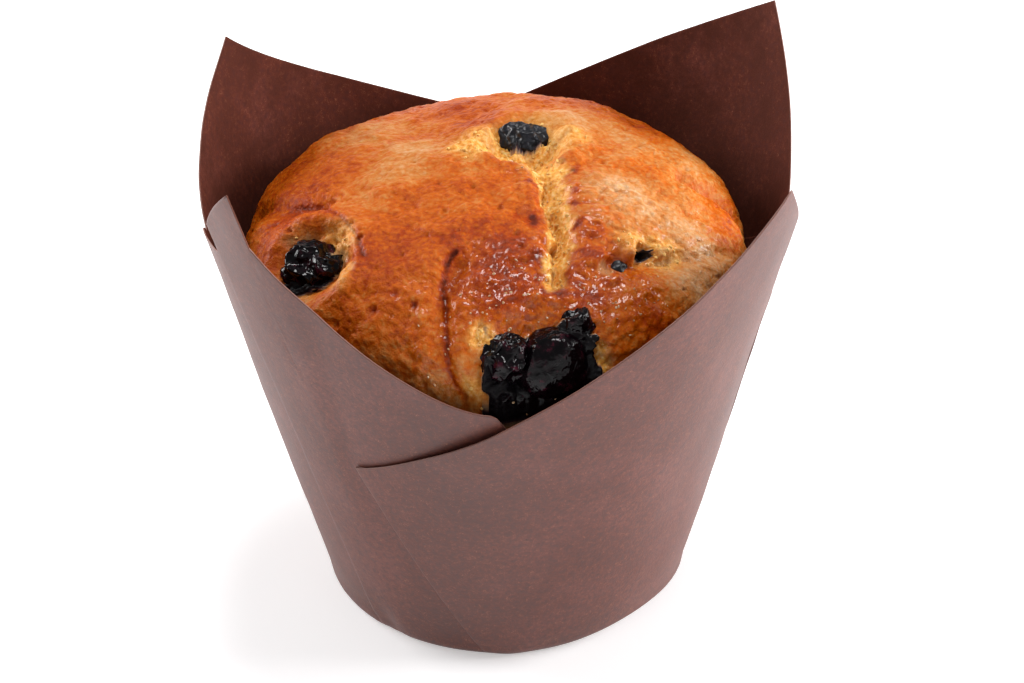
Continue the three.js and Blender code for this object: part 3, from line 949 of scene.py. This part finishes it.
@dataclass
class Muffin:
    """The baked muffin: it fills the case, swells over it and domes, with its crust burst over the fruit."""

    dome_radius: float = 35.2
    dome_height: float = 15.1
    dome_centre: float = 50.3
    fullness: float = 2.25
    shift: float = -0.8
    core_drop: float = 12.0
    wall_leave: float = 39.0
    bottom_height: float = 1.0
    bottom_round: float = 3.0
    inner_gap: float = 0.7
    foot_radius: float = 24.33
    lean: float = math.radians(15.54)
    dome_rows: int = 400
    wall_rows: int = 60
    corner_rows: int = 12
    floor_rows: int = 20
    dome_share: float = 0.84
    cells: int = 150
    weld_gap: float = 0.02
    oven: Browning = Browning()
    skin_height: float = 0.14
    boiled_height: float = 0.16
    wrinkle_height: float = 0.26
    crumb_height: float = 0.8
    juice_height: float = 0.9
    swellings: tuple[tuple[float, float, int], ...] = ((6.5, 0.4, 31), (2.8, 0.3, 32))
    bubbles: tuple[tuple[float, float, int, float], ...] = ((2.3, 0.45, 34, 0.3), (1.2, 0.3, 35, 0.35))
    craters: Spots = (
        Spot((3.8, 7.4), 5.4, 3.2, 0.7), Spot((-25.6, -14.8), 5.8, 2.8, 1.0),
        Spot((4.6, -33.2, 54), 8, 2.4, 0.3),
    )
    pits: Spots = (
        Spot((19.4, -17.5), 2.1, 2.2), Spot((22.9, -16), 2.6, 1.1), Spot((15.9, -19.6), 1.9, 1.3),
        Spot((-25.9, -10), 1.6, 1.0),
    )
    small_pits: Spots = (
        Spot((-11.7, -26.6), 0.75, 0.9), Spot((-17.3, -25.9), 0.6, 0.8), Spot((-14.1, -24.7), 0.5, 0.4),
        Spot((-28.5, -9.1), 0.7, 0.6), Spot((19.9, -16.4), 0.9, 4.2),
    )
    crack: Furrow = Furrow(((6.1, 2), (7.3, -2.2), (8, -10.8), (8.2, -16), (7.6, -23.8)), 2.1, 2.0)
    slot: Furrow = Furrow(
        ((6.9, -3), (6.2, -8.5), (7.9, -11), (8.6, -15.2), (7.8, -19.1), (7.8, -24)), 0.6, 1.6
    )
    furrow: Furrow = Furrow(
        ((-5.5, -21.8), (-7.9, -26.4), (-8, -29.4), (-7.4, -32.9, 53.6), (-5.4, -33.8, 50.2)), 1.7, 1.3
    )
    seam: Furrow = Furrow(
        ((-5.9, -18.8), (-7.2, -20.7), (-7.6, -22.9), (-8.1, -25), (-7.8, -28.4), (-7.6, -31.9))
        + ((-7.4, -34, 53.9), (-5.9, -34.8, 51.3), (-2.8, -34.9, 47.2)),
        0.32,
        0.5,
    )
    ring: Furrow = Furrow(
        ((-31.5, 1.6, 57.5), (-28.1, -1.6), (-24.8, -3.8), (-21.2, -8.8), (-19.2, -13.3), (-18.2, -17.3)),
        0.8,
        0.5,
    )
    lobe_edges: tuple[Furrow, ...] = (
        Furrow(((-33.8, 6, 54.2), (-31.5, 1.6, 57.5), (-28.6, -2), (-24.8, -3.8)), 1.8, 1.5),
        Furrow(((-24.8, -3.8), (-21.2, -8.8), (-19.2, -13.3), (-18.2, -17.3)), 1.2, 0.5),
        Furrow(((33.8, 2, 53.6), (31.4, 3.4, 57), (29, 3), (26.4, 3)), 2.0, 2.0),
        Furrow(((14.2, -20.6), (19.8, -18.8), (26, -14.8), (31, -9.4, 56.6)), 1.3, 0.7),
    )
    swells: Spots = (
        Spot((-16, -22), 10, -0.8), Spot((-30, -5), 8, -0.5), Spot((0, -13), 9, -0.5),
        Spot((15, -10), 9, -0.8), Spot((26, 6), 9, -0.4), Spot((-10, 18), 9, 1.5), Spot((9, 19), 9, -0.8),
        Spot((-22, 17), 8, -0.4), Spot((20, -26), 8, -0.7),
    )
    dark_spots: Spots = (
        Spot((12, -27.4), 3.2, 0.15), Spot((20, -26), 4.2, 0.22), Spot((12.4, -14.6), 2.4, 0.3),
        Spot((12.3, -18.5), 1.8, 0.35), Spot((-2.7, -17.4), 6, 0.15), Spot((2.7, -20.5), 5, 0.25),
        Spot((0.5, -25), 5, 0.22), Spot((-31.6, 10.1), 8, 0.25), Spot((-33, -6), 8, 0.2),
        Spot((-11, -33.4), 6, 0.1), Spot((5.2, -1.2), 1.4, 0.6), Spot((4.3, -3.8), 1.1, 0.5),
        Spot((5.5, 1.4), 1.0, 0.55), Spot((3.2, 1.6), 1.3, 0.35), Spot((-0.5, 2.2), 1.5, 0.25),
    )
    # Paler patches: partly uneven baking, partly painted sheen where the right side catches the light.
    pale_and_sheen_spots: Spots = (
        Spot((-9, 4), 9, 0.28), Spot((12, 10), 10, 0.25), Spot((16, -8), 9, 0.34), Spot((24, -4), 8, 0.2),
        Spot((25, 9), 9, 0.18), Spot((-14, 14), 9, 0.2), Spot((27, -15), 8, 0.3),
        Spot((14, -30, 55), 6, 0.1), Spot((-20, -3), 6, 0.08),
    )
    crumb_spots: Spots = (
        Spot((-3.5, 6.5), 4.2, 0.75), Spot((3.4, 7.6), 6.4, 1.0), Spot((9.6, 8.5), 3.2, 0.6),
        Spot((6.5, 0.5), 3.2, 0.9), Spot((-22.4, -12.2), 3.6, 0.6), Spot((-27, -10), 2.6, 0.2),
        Spot((-21.4, -19.5), 2.6, 0.5), Spot((18.6, -15.8), 3.2, 0.7), Spot((22.4, -15.4), 3.0, 0.8),
        Spot((13, -31.4, 53.6), 2.0, 1.0), Spot((-2.8, -31.2, 57.6), 2.0, 0.9),
        Spot((-3.6, -33.4, 51.6), 2.6, 0.5),
    )
    stain_spots: Spots = (
        Spot((14.6, -20.6), 1.6, 0.35), Spot((22.6, -15.6), 2.0, 0.3), Spot((-1.1, 9.2), 2.0, 0.22),
        Spot((8.9, 9.0), 2.0, 0.22), Spot((4.2, 8.2), 2.4, 0.3), Spot((-23.4, -14.8), 2.8, 0.35),
        Spot((-27.5, -11), 2.2, 0.3), Spot((-2.4, -31, 58.4), 1.0, 0.5),
    )
    juice_spots: Spots = (
        Spot((9.3, -31, 56.2), 3.5, 1.0), Spot((10, -32.8, 53), 3.8, 1.0),
        Spot((5.5, -33.6, 54.4), 4.0, 1.0), Spot((1, -33.5, 55.2), 3.6, 1.0),
        Spot((-1, -34.2, 53.2), 2.9, 1.0), Spot((0.5, -35, 50), 3.6, 1.0), Spot((0, -35, 47.5), 3.0, 1.0),
        Spot((4.5, -34.7, 50.5), 4.5, 1.0), Spot((9, -33.6, 50), 4.0, 1.0), Spot((-27.2, -15.2), 4.6, 0.9),
        Spot((3.8, 9.6), 2.6, 0.8), Spot((19.9, -16.4), 1.1, 1.0),
    )
    lumps: Spots = (
        Spot((13.1, -19.4), 1.5, 1.4), Spot((17.8, -17.8), 1.3, 2.4), Spot((17.2, -15.8), 1.6, 1.6),
        Spot((15.2, -21.4), 1.4, 1.0), Spot((22.6, -15.6), 1.3, 0.9), Spot((6.2, -16.2), 1.3, 1.0),
        Spot((4.9, -18.9), 1.1, 0.8), Spot((-1.1, 9.2), 1.5, 1.5), Spot((8.9, 9.0), 1.5, 1.5),
        Spot((6.4, 7.9), 1.2, 1.5), Spot((2.0, 7.4), 1.3, 1.4), Spot((-22.4, -13.0), 1.5, 0.9),
        Spot((-25.6, -10.2), 1.3, 0.8), Spot((-21.6, -18.6), 1.2, 0.7),
    )
    # Painted shade: the crust colour is darkened inside the deep pits and holes.
    painted_hole_shade: Spots = (
        Spot((19.9, -16.4), 1.0, 0.5), Spot((12.6, -25.3), 0.9, 0.25), Spot((-26.6, -9.2), 1.2, 0.25),
        Spot((-28.5, -9.1), 0.6, 0.3), Spot((-11.7, -26.6), 0.6, 0.3), Spot((-17.3, -25.9), 0.5, 0.3),
        Spot((-14.1, -24.7), 0.5, 0.2),
    )
    sticky_spots: Spots = (
        Spot((2, -26), 9, 1.0), Spot((18.5, -26), 9, 0.9), Spot((8, -24), 7, 0.9), Spot((12, -8), 8, 0.35),
        Spot((-10, -33), 6, 0.6), Spot((5, -2), 5, 0.4), Spot((5.5, -31.5, 53), 7, 1.0),
        Spot((-25.6, -14.5), 5, 0.9),
    )
    wrinkled_spots: Spots = (
        Spot((16, -9), 9, 1.0), Spot((24, -12), 9, 0.8), Spot((12, -20), 9, 0.9), Spot((-10, -31), 9, 0.8),
        Spot((2, -25), 9, 0.8),
    )

    def dome_top(self, x: float, y: float) -> float:
        """Height of the plain dome over a place."""
        share = min(math.hypot(x - self.shift, y) / self.dome_radius, 1)
        return self.dome_centre + self.dome_height * (1 - share**self.fullness) ** (1 / self.fullness)

    def on_dome(self, place: Place) -> Array:
        """A place on the dome, its height worked out where it isn't given."""
        return np.array([*place[:2], place[2] if len(place) > 2 else self.dome_top(*place[:2])])

    def away(self, points: Array, place: Place) -> Array:
        """Distance of each point from a place on the dome."""
        return np.linalg.norm(points - self.on_dome(place), axis=1)

    def beside(self, points: Array, line: tuple[Place, ...]) -> Array:
        """Distance from a line over the dome.

        Args:
            points: Places on the dome.
            line: Places that the line joins.

        Returns:
            One distance for each point.
        """
        least = np.full(len(points), 1e9)
        ends = [self.on_dome(place) for place in line]
        for start, end in zip(ends, ends[1:]):
            side = end - start
            share = np.clip((points - start) @ side / (side @ side), 0, 1)
            least = np.minimum(least, np.linalg.norm(points - start - share[:, None] * side, axis=1))
        return least

    def profile(self) -> Array:
        """The outline from the top of the dome to the middle of the bottom.

        Returns:
            Radius and height of each of its points.
        """
        turn = np.linspace(math.pi / 2, 0, self.dome_rows)
        power = 2 / self.fullness
        tangent = math.tan(self.lean)
        mouth = self.foot_radius - self.inner_gap
        down = np.linspace(self.dome_centre, self.wall_leave, self.wall_rows)[1:]
        share = (down - self.wall_leave) / (self.dome_centre - self.wall_leave)
        low = self.bottom_height + self.bottom_round
        wall = np.linspace(self.wall_leave, low, self.wall_rows)[1:]
        foot = mouth + self.bottom_height * tangent
        bend = np.linspace(0, math.pi / 2, self.corner_rows)[1:]
        flat = np.linspace(foot - self.bottom_round, 0, self.floor_rows)[1:]
        dome = self.dome_centre + self.dome_height * np.sin(turn) ** power
        pieces = (
            (self.dome_radius * np.cos(turn) ** power, dome),
            (lerp(mouth + self.wall_leave * tangent, self.dome_radius, share), down),
            (mouth + wall * tangent, wall),
            (foot - self.bottom_round * (1 - np.cos(bend)), low - self.bottom_round * np.sin(bend)),
            (flat, np.full(len(flat), self.bottom_height)),
        )
        return np.concatenate([np.stack(piece, 1) for piece in pieces])

    def grid(self) -> tuple[Array, Array, Array]:
        """A square sheet of cells wrapped round the muffin from the top, closed at the bottom.

        Returns:
            Share of the way down from the top and azimuth for each point, and the faces.
        """
        side = np.linspace(-1, 1, 2 * self.cells + 1)
        a, b = (axis.reshape(-1) for axis in np.meshgrid(side, side))
        wide = np.abs(a) >= np.abs(b)
        along, across = np.where(wide, a, b), np.where(wide, b, a)
        lean = across / np.where(along != 0, along, 1) * math.pi / 4
        start = np.where(wide, math.pi * (a < 0), math.pi * (0.5 + (b < 0)))
        return np.abs(along), np.where(wide, start + lean, start - lean), grid_faces(len(side), len(side))

    def relief(self, points: Array) -> Array:
        """The main forms of the crust, which the CAD part has too.

        Args:
            points: Places on the plain dome.

        Returns:
            How far the crust stands proud of each point.
        """
        total = np.zeros(len(points))
        for spot in self.swells:
            total -= spot.depth * bell(self.away(points, spot.at), spot.reach)
        for spot in self.craters:
            share = self.away(points, spot.at) / spot.reach
            total += spot.lip * bell(share - 1.35, 0.4) - spot.depth * bell(share**2, 1)
        for spot in self.pits:
            total -= spot.depth * bell(self.away(points, spot.at), spot.reach)
        for furrow in (self.crack, self.furrow, *self.lobe_edges):
            total -= furrow.depth * bell(self.beside(points, furrow.line), furrow.reach)
        return total

    def fine_relief(self, points: Array, masks: dict[str, Array]) -> Array:
        """Finer forms: torn edges, bubbles, pitted skin, boiled sugar and juice.

        Args:
            points: Places on the plain dome.
            masks: The masks at those places.

        Returns:
            How far they lift each point.
        """
        ragged = points + np.stack([noise(points, 1.6, seed) for seed in (21, 22, 23)], 1) * 0.45
        total = np.zeros(len(points))
        for furrow in (self.slot, self.seam):
            total -= furrow.depth * bell(self.beside(ragged, furrow.line), furrow.reach)
        for spot in self.small_pits:
            total -= spot.depth * bell(self.away(ragged, spot.at), spot.reach)
        ring = self.beside(points, self.ring.line)
        total += self.ring.depth * 0.6 * bell(ring - 0.5, self.ring.reach) - 0.35 * bell(ring + 0.1, 0.35)
        for size, height, seed in self.swellings:
            total += height * noise(points, size, seed)
        total += self.skin_height * layered(points, 1.2, 33, 2)
        for size, depth, seed, share in self.bubbles:
            total -= depth * holes(points, size, seed, share)
        boiled = ridges(points, 2.0, 36) + noise(points, 1.0, 37)
        total += masks["sticky"] * self.boiled_height * boiled
        for spot in self.lumps:
            total += spot.depth * bell(self.away(ragged, spot.at), spot.reach)
        total += masks["wrinkled"] * self.wrinkle_height * ridges(points * [1.0, 1.5, 1.0], 1.7, 39)
        total += masks["crumb"] * (self.crumb_height * layered(points, 2.2, 38, 3) - 0.2)
        juice = self.juice_height + 0.7 * ridges(points, 2.4, 40) + 0.3 * noise(points, 1.0, 44)
        return total + smoothstep(masks["stain"], 0.55, 0.9) * juice

    def masks(self, points: Array) -> dict[str, Array]:
        """Where the crust is browned or carries painted light and shade, torn open, stained, sticky and
        wrinkled.

        Args:
            points: Places on the plain dome.

        Returns:
            For each mask's name, a number from 0 to 1 for each point.
        """
        ragged = points + np.stack([layered(points, 3.2, seed, 3) for seed in (11, 14, 17)], 1) * 0.9

        def blots(spots: Spots) -> Array:
            """All these spots together.

            Args:
                spots: The spots, each with its strength.

            Returns:
                Their share at each point, never over 1.
            """
            clear = np.ones(len(points))
            for spot in spots:
                clear *= 1 - spot.depth * smoothstep(-self.away(ragged, spot.at) / spot.reach, -1.25, -0.45)
            return 1 - clear

        crack = self.beside(ragged, self.crack.line)
        oven = self.oven
        height = smoothstep(points[:, 2], *oven.heights)
        torn = 1 - (1 - blots(self.crumb_spots)) * (1 - smoothstep(-crack, -2.3, -1.1))
        # Colour rises with height: partly real browning on top, partly painted light that keeps the low
        # crust, shaded by the case, paler.
        browning_and_shading = oven.ground + oven.height * height + oven.cloud * layered(points, oven.cloud_mm, 41, 3)
        # Pale patches are partly painted sheen.
        browning_and_shading += oven.dark * blots(self.dark_spots) - oven.pale * blots(self.pale_and_sheen_spots)
        browning_and_shading += oven.seam * bell(self.beside(points, self.seam.line), 0.45)
        browning_and_shading += oven.ring * bell(self.beside(points, self.ring.line) + 0.1, 0.6)
        scorched = smoothstep(noise(points, 2.4, 43), -0.1, 0.6)
        browning_and_shading += oven.crack * bell(crack - 2.6, 0.8) * scorched
        # Painted shade in the pits and holes.
        for spot in self.painted_hole_shade:
            browning_and_shading += spot.depth * bell(self.away(points, spot.at), spot.reach)
        juice = smoothstep(blots(self.juice_spots), 0.42, 0.62)
        torn *= 1 - juice
        return {
            "browning_and_shading": np.clip(browning_and_shading, 0, 1),
            "crumb": np.clip(torn, 0, 1),
            "stain": np.maximum(blots(self.stain_spots), juice),
            "sticky": blots(self.sticky_spots) * (1 - 0.6 * torn),
            "wrinkled": blots(self.wrinkled_spots),
        }

    def build(self, finish: BakedCrust) -> bpy.types.Object:
        """Bakes the muffin.

        Args:
            finish: Its crust.

        Returns:
            The finished piece, which stands for the CAD sponge.
        """
        share, turn, faces = self.grid()
        outline = self.profile()
        steps = np.concatenate([[0], np.cumsum(np.linalg.norm(np.diff(outline, axis=0), axis=1))])
        dome_length = steps[self.dome_rows - 1]
        shown = self.dome_share
        rest = (share - shown) / (1 - shown) * (steps[-1] - dome_length)
        down = np.where(share < shown, share / shown * dome_length, dome_length + rest)
        radius, height = (np.interp(down, steps, outline[:, axis]) for axis in range(2))
        points = np.stack([radius * np.cos(turn), radius * np.sin(turn), height], 1)
        free = smoothstep(height, self.wall_leave, self.dome_centre)
        points[:, 0] += free * self.shift
        outwards = points - [0, 0, self.dome_centre - self.core_drop]
        outwards /= np.linalg.norm(outwards, axis=1)[:, None]
        masks = self.masks(points)
        rise = self.relief(points) + self.fine_relief(points, masks)
        points += outwards * (free * rise)[:, None]
        crust = finish.make()
        piece = mesh_object("muffin", points, list(faces), crust)
        for name, values in masks.items():
            store(piece, name, values)
        apply_tree(piece, weld_tree(), {"Distance": self.weld_gap * MM, "Crust": crust})
        declare(piece, "sponge")
        return piece


def weld_tree() -> Tree:
    """A Geometry Nodes tree that closes a sheet where its points meet.

    Returns:
        The tree.
    """
    tree, given = new_tree("weld", {"Sheet": "Geometry", "Distance": "Float", "Crust": "Material"})
    sheet = {"Geometry": given["Sheet"], "Distance": given["Distance"]}
    joined = add_node(tree, "GeometryNodeMergeByDistance", sheet)
    end_tree(tree, joined.outputs[0], [(given["Crust"],)])
    return tree


# ---- Berries ----


class Skin(Enum):
    """How a berry came out of the oven."""

    WET = "wet"
    DRY = "dry"


@dataclass(frozen=True)
class BerrySkin:
    """Cooked dark berry skin: blue-black and wrinkled, wet with juice or dulled where it dried."""

    roughness: float
    gloss: float
    wrinkle_mm: float
    colours: Stops
    mottle_mm: float = 1.5
    ior: float = 1.42

    def make(self, name: str) -> bpy.types.Material:
        """Builds the material.

        Args:
            name: Its name.

        Returns:
            The material.
        """
        material, tree, shader = new_material(name)
        place = add_node(tree, "ShaderNodeTexCoord").outputs["Object"]
        patterns = {
            "mottle": (place, fineness(self.mottle_mm), 4.0, 0.6),
            "crease": (place, fineness(self.wrinkle_mm), 2.0, 0.5, 1.2),
        }
        found = add_each(tree, "ShaderNodeTexNoise", NOISE, patterns)
        bump = {"Height": found["crease"], "Strength": 0.7, "Distance": 0.3 * MM}
        tone = add_node(tree, "ShaderNodeValToRGB", {"Fac": found["mottle"]}, self.colours)
        looks = {
            "Base Color": tone.outputs[0],
            "Normal": add_node(tree, "ShaderNodeBump", bump).outputs[0],
            "Roughness": self.roughness,
            "Specular IOR Level": self.gloss,
            "IOR": self.ior,
        }
        connect(shader, looks)
        return material


SKINS = {
    Skin.WET: BerrySkin(0.1, 0.26, 1.6, ((0.45, "#040204"), (0.58, "#12060B"), (0.7, "#3E101E"))),
    Skin.DRY: BerrySkin(0.34, 0.4, 1.5, ((0.35, "#07070C"), (0.55, "#12131A"), (0.75, "#2A2933"))),
}


@dataclass(frozen=True)
class Berry:
    """One burst berry: its middle, half sizes, fineness, the turn of its dents and its skin's folds."""

    at: tuple[float, float, float]
    size: tuple[float, float, float]
    fineness: int
    dents: int
    wrinkles: float
    skin: Skin = Skin.WET
    dent_depth: float = 0.07
    broad: float = 0.75

    def build(self, node: str, materials: dict[Skin, bpy.types.Material]) -> bpy.types.Object:
        """Makes the berry.

        Args:
            node: The CAD node that it stands for.
            materials: The finish for each kind of skin.

        Returns:
            The finished piece.
        """
        bpy.ops.mesh.primitive_ico_sphere_add(subdivisions=self.fineness, radius=1)
        piece = bpy.context.active_object
        piece.name = piece.data.name = node + "_skin"
        ball = np.empty(len(piece.data.vertices) * 3)
        piece.data.vertices.foreach_get("co", ball)
        ball = ball.reshape(-1, 3)
        across = np.sin(3.1 * ball[:, 0] + self.dents) * np.sin(2.7 * ball[:, 1] + 1.7 * self.dents)
        reach = 1 + self.dent_depth * (across + np.sin(3.7 * ball[:, 2] - self.dents))
        points = ball * self.size * reach[:, None] + self.at
        folds = self.broad * ridges(points, 3.1, 50 + self.dents)
        small = (1 - self.broad) * ridges(points, 1.5, 60 + self.dents)
        points += ball * (self.wrinkles * (folds + small - self.broad))[:, None]
        piece.data.vertices.foreach_set("co", (points * MM).reshape(-1))
        piece.data.materials.append(materials[self.skin])
        piece.data.shade_smooth()
        piece.data.update()
        declare(piece, node)
        return piece


BERRIES = {
    "berry_front_large": Berry((6.5, -30.8, 52.9), (5.6, 4.9, 4.8), 6, 3, 0.2),
    "berry_front_left": Berry((0.3, -31.2, 53.9), (3.6, 3.8, 4.1), 6, 5, 0.9),
    "berry_front_low": Berry((1.2, -32.3, 47.8), (3.2, 3.2, 3.5), 5, 7, 0.8),
    "berry_front_upper": Berry((10.4, -28.1, 56.9), (3, 2.8, 2.7), 5, 2, 0.7),
    "berry_left": Berry((-25.5, -13.4, 57.2), (4.6, 4.4, 4.5), 6, 6, 1.0),
    "berry_top": Berry((3.6, 11, 63.3), (3.8, 3, 2.5), 6, 4, 0.9, Skin.DRY, 0.13),
    "berry_right": Berry((15.6, -18.5, 59.1), (2.2, 2.1, 2.1), 5, 1, 0.4, Skin.DRY),
}


# ---- Crumbs and sugar ----


def scatter_tree() -> Tree:
    """A Geometry Nodes tree that strews small lumps where a named mask of the surface is high.

    Returns:
        The tree.
    """
    inputs = {
        "Surface": "Geometry",
        "Mask": "String",
        "Density": "Float",
        "Size": "Float",
        "Seed": "Int",
        "Finish": "Material",
    }
    tree, given = new_tree("strewn crumbs", inputs)
    mask = add_node(tree, "GeometryNodeInputNamedAttribute", {"Name": given["Mask"]}, data_type="FLOAT")
    sharp = add_node(tree, "ShaderNodeMath", {0: mask.outputs[0], 1: 2.0}, operation="POWER")
    share = {0: sharp.outputs[0], 1: given["Density"]}
    density = add_node(tree, "ShaderNodeMath", share, operation="MULTIPLY").outputs[0]
    ground = {"Mesh": given["Surface"], "Density": density, "Seed": given["Seed"]}
    strewn = add_node(tree, "GeometryNodeDistributePointsOnFaces", ground)
    ranges = {
        "spin": ((0.0, 0.0, 0.0), (6.3, 6.3, 6.3), given["Seed"]),
        "stretch": ((0.35, 0.35, 0.25), (1.0, 0.8, 0.6), given["Seed"]),
    }
    names = ("Min", "Max", "Seed")
    drawn = add_each(tree, "FunctionNodeRandomValue", names, ranges, data_type="FLOAT_VECTOR")
    lump = add_node(tree, "GeometryNodeMeshIcoSphere", {"Radius": 1.0, "Subdivisions": 2})
    sizes = {0: drawn["stretch"], "Scale": given["Size"]}
    inputs = {
        "Points": strewn.outputs["Points"],
        "Instance": lump.outputs[0],
        "Rotation": add_node(tree, "FunctionNodeEulerToRotation", {0: drawn["spin"]}).outputs[0],
        "Scale": add_node(tree, "ShaderNodeVectorMath", sizes, operation="SCALE").outputs[0],
    }
    lumps = add_node(tree, "GeometryNodeInstanceOnPoints", inputs)
    end_tree(tree, lumps.outputs[0], [(given["Finish"],)])
    return tree


@dataclass(frozen=True)
class CrumbFinish:
    """Loose golden crumb, or clear sugar grains, matt and rough or bright and smooth."""

    colour: str
    dark: str
    roughness: float
    clear: float
    mottle_mm: float = 0.5

    def make(self, name: str) -> bpy.types.Material:
        """Builds the material.

        Args:
            name: Its name.

        Returns:
            The material.
        """
        material, tree, shader = new_material(name)
        place = add_node(tree, "ShaderNodeTexCoord").outputs["Object"]
        pattern = {"Vector": place, "Scale": fineness(self.mottle_mm), "Detail": 3.0}
        mottle = add_node(tree, "ShaderNodeTexNoise", pattern).outputs["Fac"]
        stops = ((0.3, self.dark), (0.6, self.colour))
        looks = {
            "Base Color": add_node(tree, "ShaderNodeValToRGB", {"Fac": mottle}, stops).outputs[0],
            "Roughness": self.roughness,
            "Transmission Weight": self.clear,
        }
        connect(shader, looks)
        return material


@dataclass
class Strewing:
    """Loose bits on the muffin: crumb in its tears and sugar grains in its sticky patches."""

    crumb_density: float = 0.5
    crumb_mm: float = 0.42
    sugar_density: float = 0.22
    sugar_mm: float = 0.3

    def build(self, surface: bpy.types.Object) -> None:
        """Strews crumb and sugar.

        Args:
            surface: The finished muffin.
        """
        tree = scatter_tree()
        crumb = CrumbFinish("#E3B868", "#C98F45", 0.6, 0.0)
        sugar = CrumbFinish("#F2D2A8", "#E0A468", 0.12, 0.4)
        kinds = (
            ("loose_crumb", "crumb", self.crumb_density, self.crumb_mm, crumb, 5),
            ("sugar_grains", "sticky", self.sugar_density, self.sugar_mm, sugar, 9),
        )
        for name, mask, density, size, finish, seed in kinds:
            piece = new_object(name, surface.data.copy())
            values = {
                "Mask": mask,
                "Density": density / MM**2,
                "Size": size * MM,
                "Seed": seed,
                "Finish": finish.make(name),
            }
            apply_tree(piece, tree, values)
            declare(piece)


# ---- Studio ----


@dataclass(frozen=True)
class Softbox:
    """A square softbox that faces the muffin: its place and side in metres, its power in watts."""

    name: str
    place: tuple[float, float, float]
    side: float
    power: float
    aim: tuple[float, float, float] = (0, 0, 0.04)

    def build(self) -> None:
        """Hangs the softbox."""
        light = bpy.data.lights.new(self.name, "AREA")
        light.size = self.side
        light.energy = self.power
        box = new_object(self.name, light)
        box.location = self.place
        box.rotation_euler = (Vector(self.aim) - Vector(self.place)).to_track_quat("-Z", "Y").to_euler()


@dataclass
class Studio:
    """A white table with soft light all round, and the camera above the front."""

    elevation: float = 33.0
    distance: float = 900.0
    roll: float = -1.29
    pixels: tuple[int, int] = (1024, 683)
    focal_px: float = 6371.6
    centre_px: tuple[float, float] = (502.44, 350.76)
    aim_height: float = 35.0
    sensor: float = 36.0
    horizon: float = 1.0
    ceiling: float = 0.24
    front: float = 1.15
    glow: float = 0.34
    table_half: float = 3000.0
    clip_end: float = 20.0
    lamps: tuple[Softbox, ...] = (
        Softbox("back softbox", (0.05, 0.2, 1.0), 0.3, 6.0),
        Softbox("right softbox", (0.95, 0.1, 0.3), 0.6, 15.5),
        Softbox("left softbox", (-0.85, 0.5, 0.3), 0.6, 11.0),
    )

    def camera(self) -> None:
        """Sets the camera up."""
        tilt, roll = math.radians(self.elevation), math.radians(self.roll)
        forward = Vector((0, math.cos(tilt), -math.sin(tilt)))
        right = Vector((1, 0, 0))
        up = right.cross(forward)
        side = right * math.cos(roll) + up * math.sin(roll)
        top = up * math.cos(roll) - right * math.sin(roll)
        lens = bpy.data.cameras.new("camera")
        lens.sensor_width = self.sensor
        lens.lens = self.focal_px * self.sensor / self.pixels[0]
        lens.shift_x = (self.pixels[0] / 2 - self.centre_px[0]) / self.pixels[0]
        lens.shift_y = (self.centre_px[1] - self.pixels[1] / 2) / self.pixels[0]
        lens.clip_end = self.clip_end
        camera = new_object("camera", lens)
        turn = Matrix((side, top, -forward)).transposed().to_4x4()
        place = Vector((0, 0, self.aim_height)) - forward * self.distance
        camera.matrix_world = Matrix.Translation(place * MM) @ turn
        bpy.context.scene.camera = camera

    def table(self) -> None:
        """Lays the white table top."""
        material, _, shader = new_material("white_table")
        looks = {"Base Color": linear("#F8F8F9"), "Emission Color": linear("#FFFFFF"), "Roughness": 0.7}
        connect(shader, {**looks, "Emission Strength": self.glow})
        corners = self.table_half * np.array([[-1.0, -1, 0], [1, -1, 0], [1, 1, 0], [-1, 1, 0]])
        mesh_object("table", corners, [[0, 1, 2, 3]], material)

    def build(self) -> None:
        """Sets up the table, the light and the camera."""
        scene = bpy.context.scene
        scene.view_settings.view_transform = "Standard"
        world = bpy.data.worlds.new("studio")
        world.use_nodes = True
        tree = world.node_tree
        way = add_node(tree, "ShaderNodeTexCoord").outputs["Generated"]
        axes = add_node(tree, "ShaderNodeSeparateXYZ", {0: way}).outputs
        shares = {
            "height": (axes["Z"], 0.2, 0.55, self.horizon, self.ceiling),
            "depth": (axes["Y"], -0.7, 0.1, self.front, 1.0),
        }
        found = add_each(tree, "ShaderNodeMapRange", SPAN, shares)
        both = {0: found["height"], 1: found["depth"]}
        whole = add_node(tree, "ShaderNodeMath", both, operation="MULTIPLY").outputs[0]
        connect(tree.nodes["Background"], {"Color": (1, 1, 1, 1), "Strength": whole})
        scene.world = world
        self.table()
        for lamp in self.lamps:
            lamp.build()
        self.camera()


def main() -> None:
    """Builds the scene piece by piece."""
    logging.basicConfig(level=logging.INFO, format="%(message)s")
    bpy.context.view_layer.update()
    Studio().build()
    TulipCase().build(BakingPaper())
    muffin = Muffin().build(BakedCrust())
    skins = {skin: finish.make(skin.value + "_berry_skin") for skin, finish in SKINS.items()}
    for node, berry in BERRIES.items():
        berry.build(node, skins)
    Strewing().build(muffin)


if __name__ == "__main__":
    main()
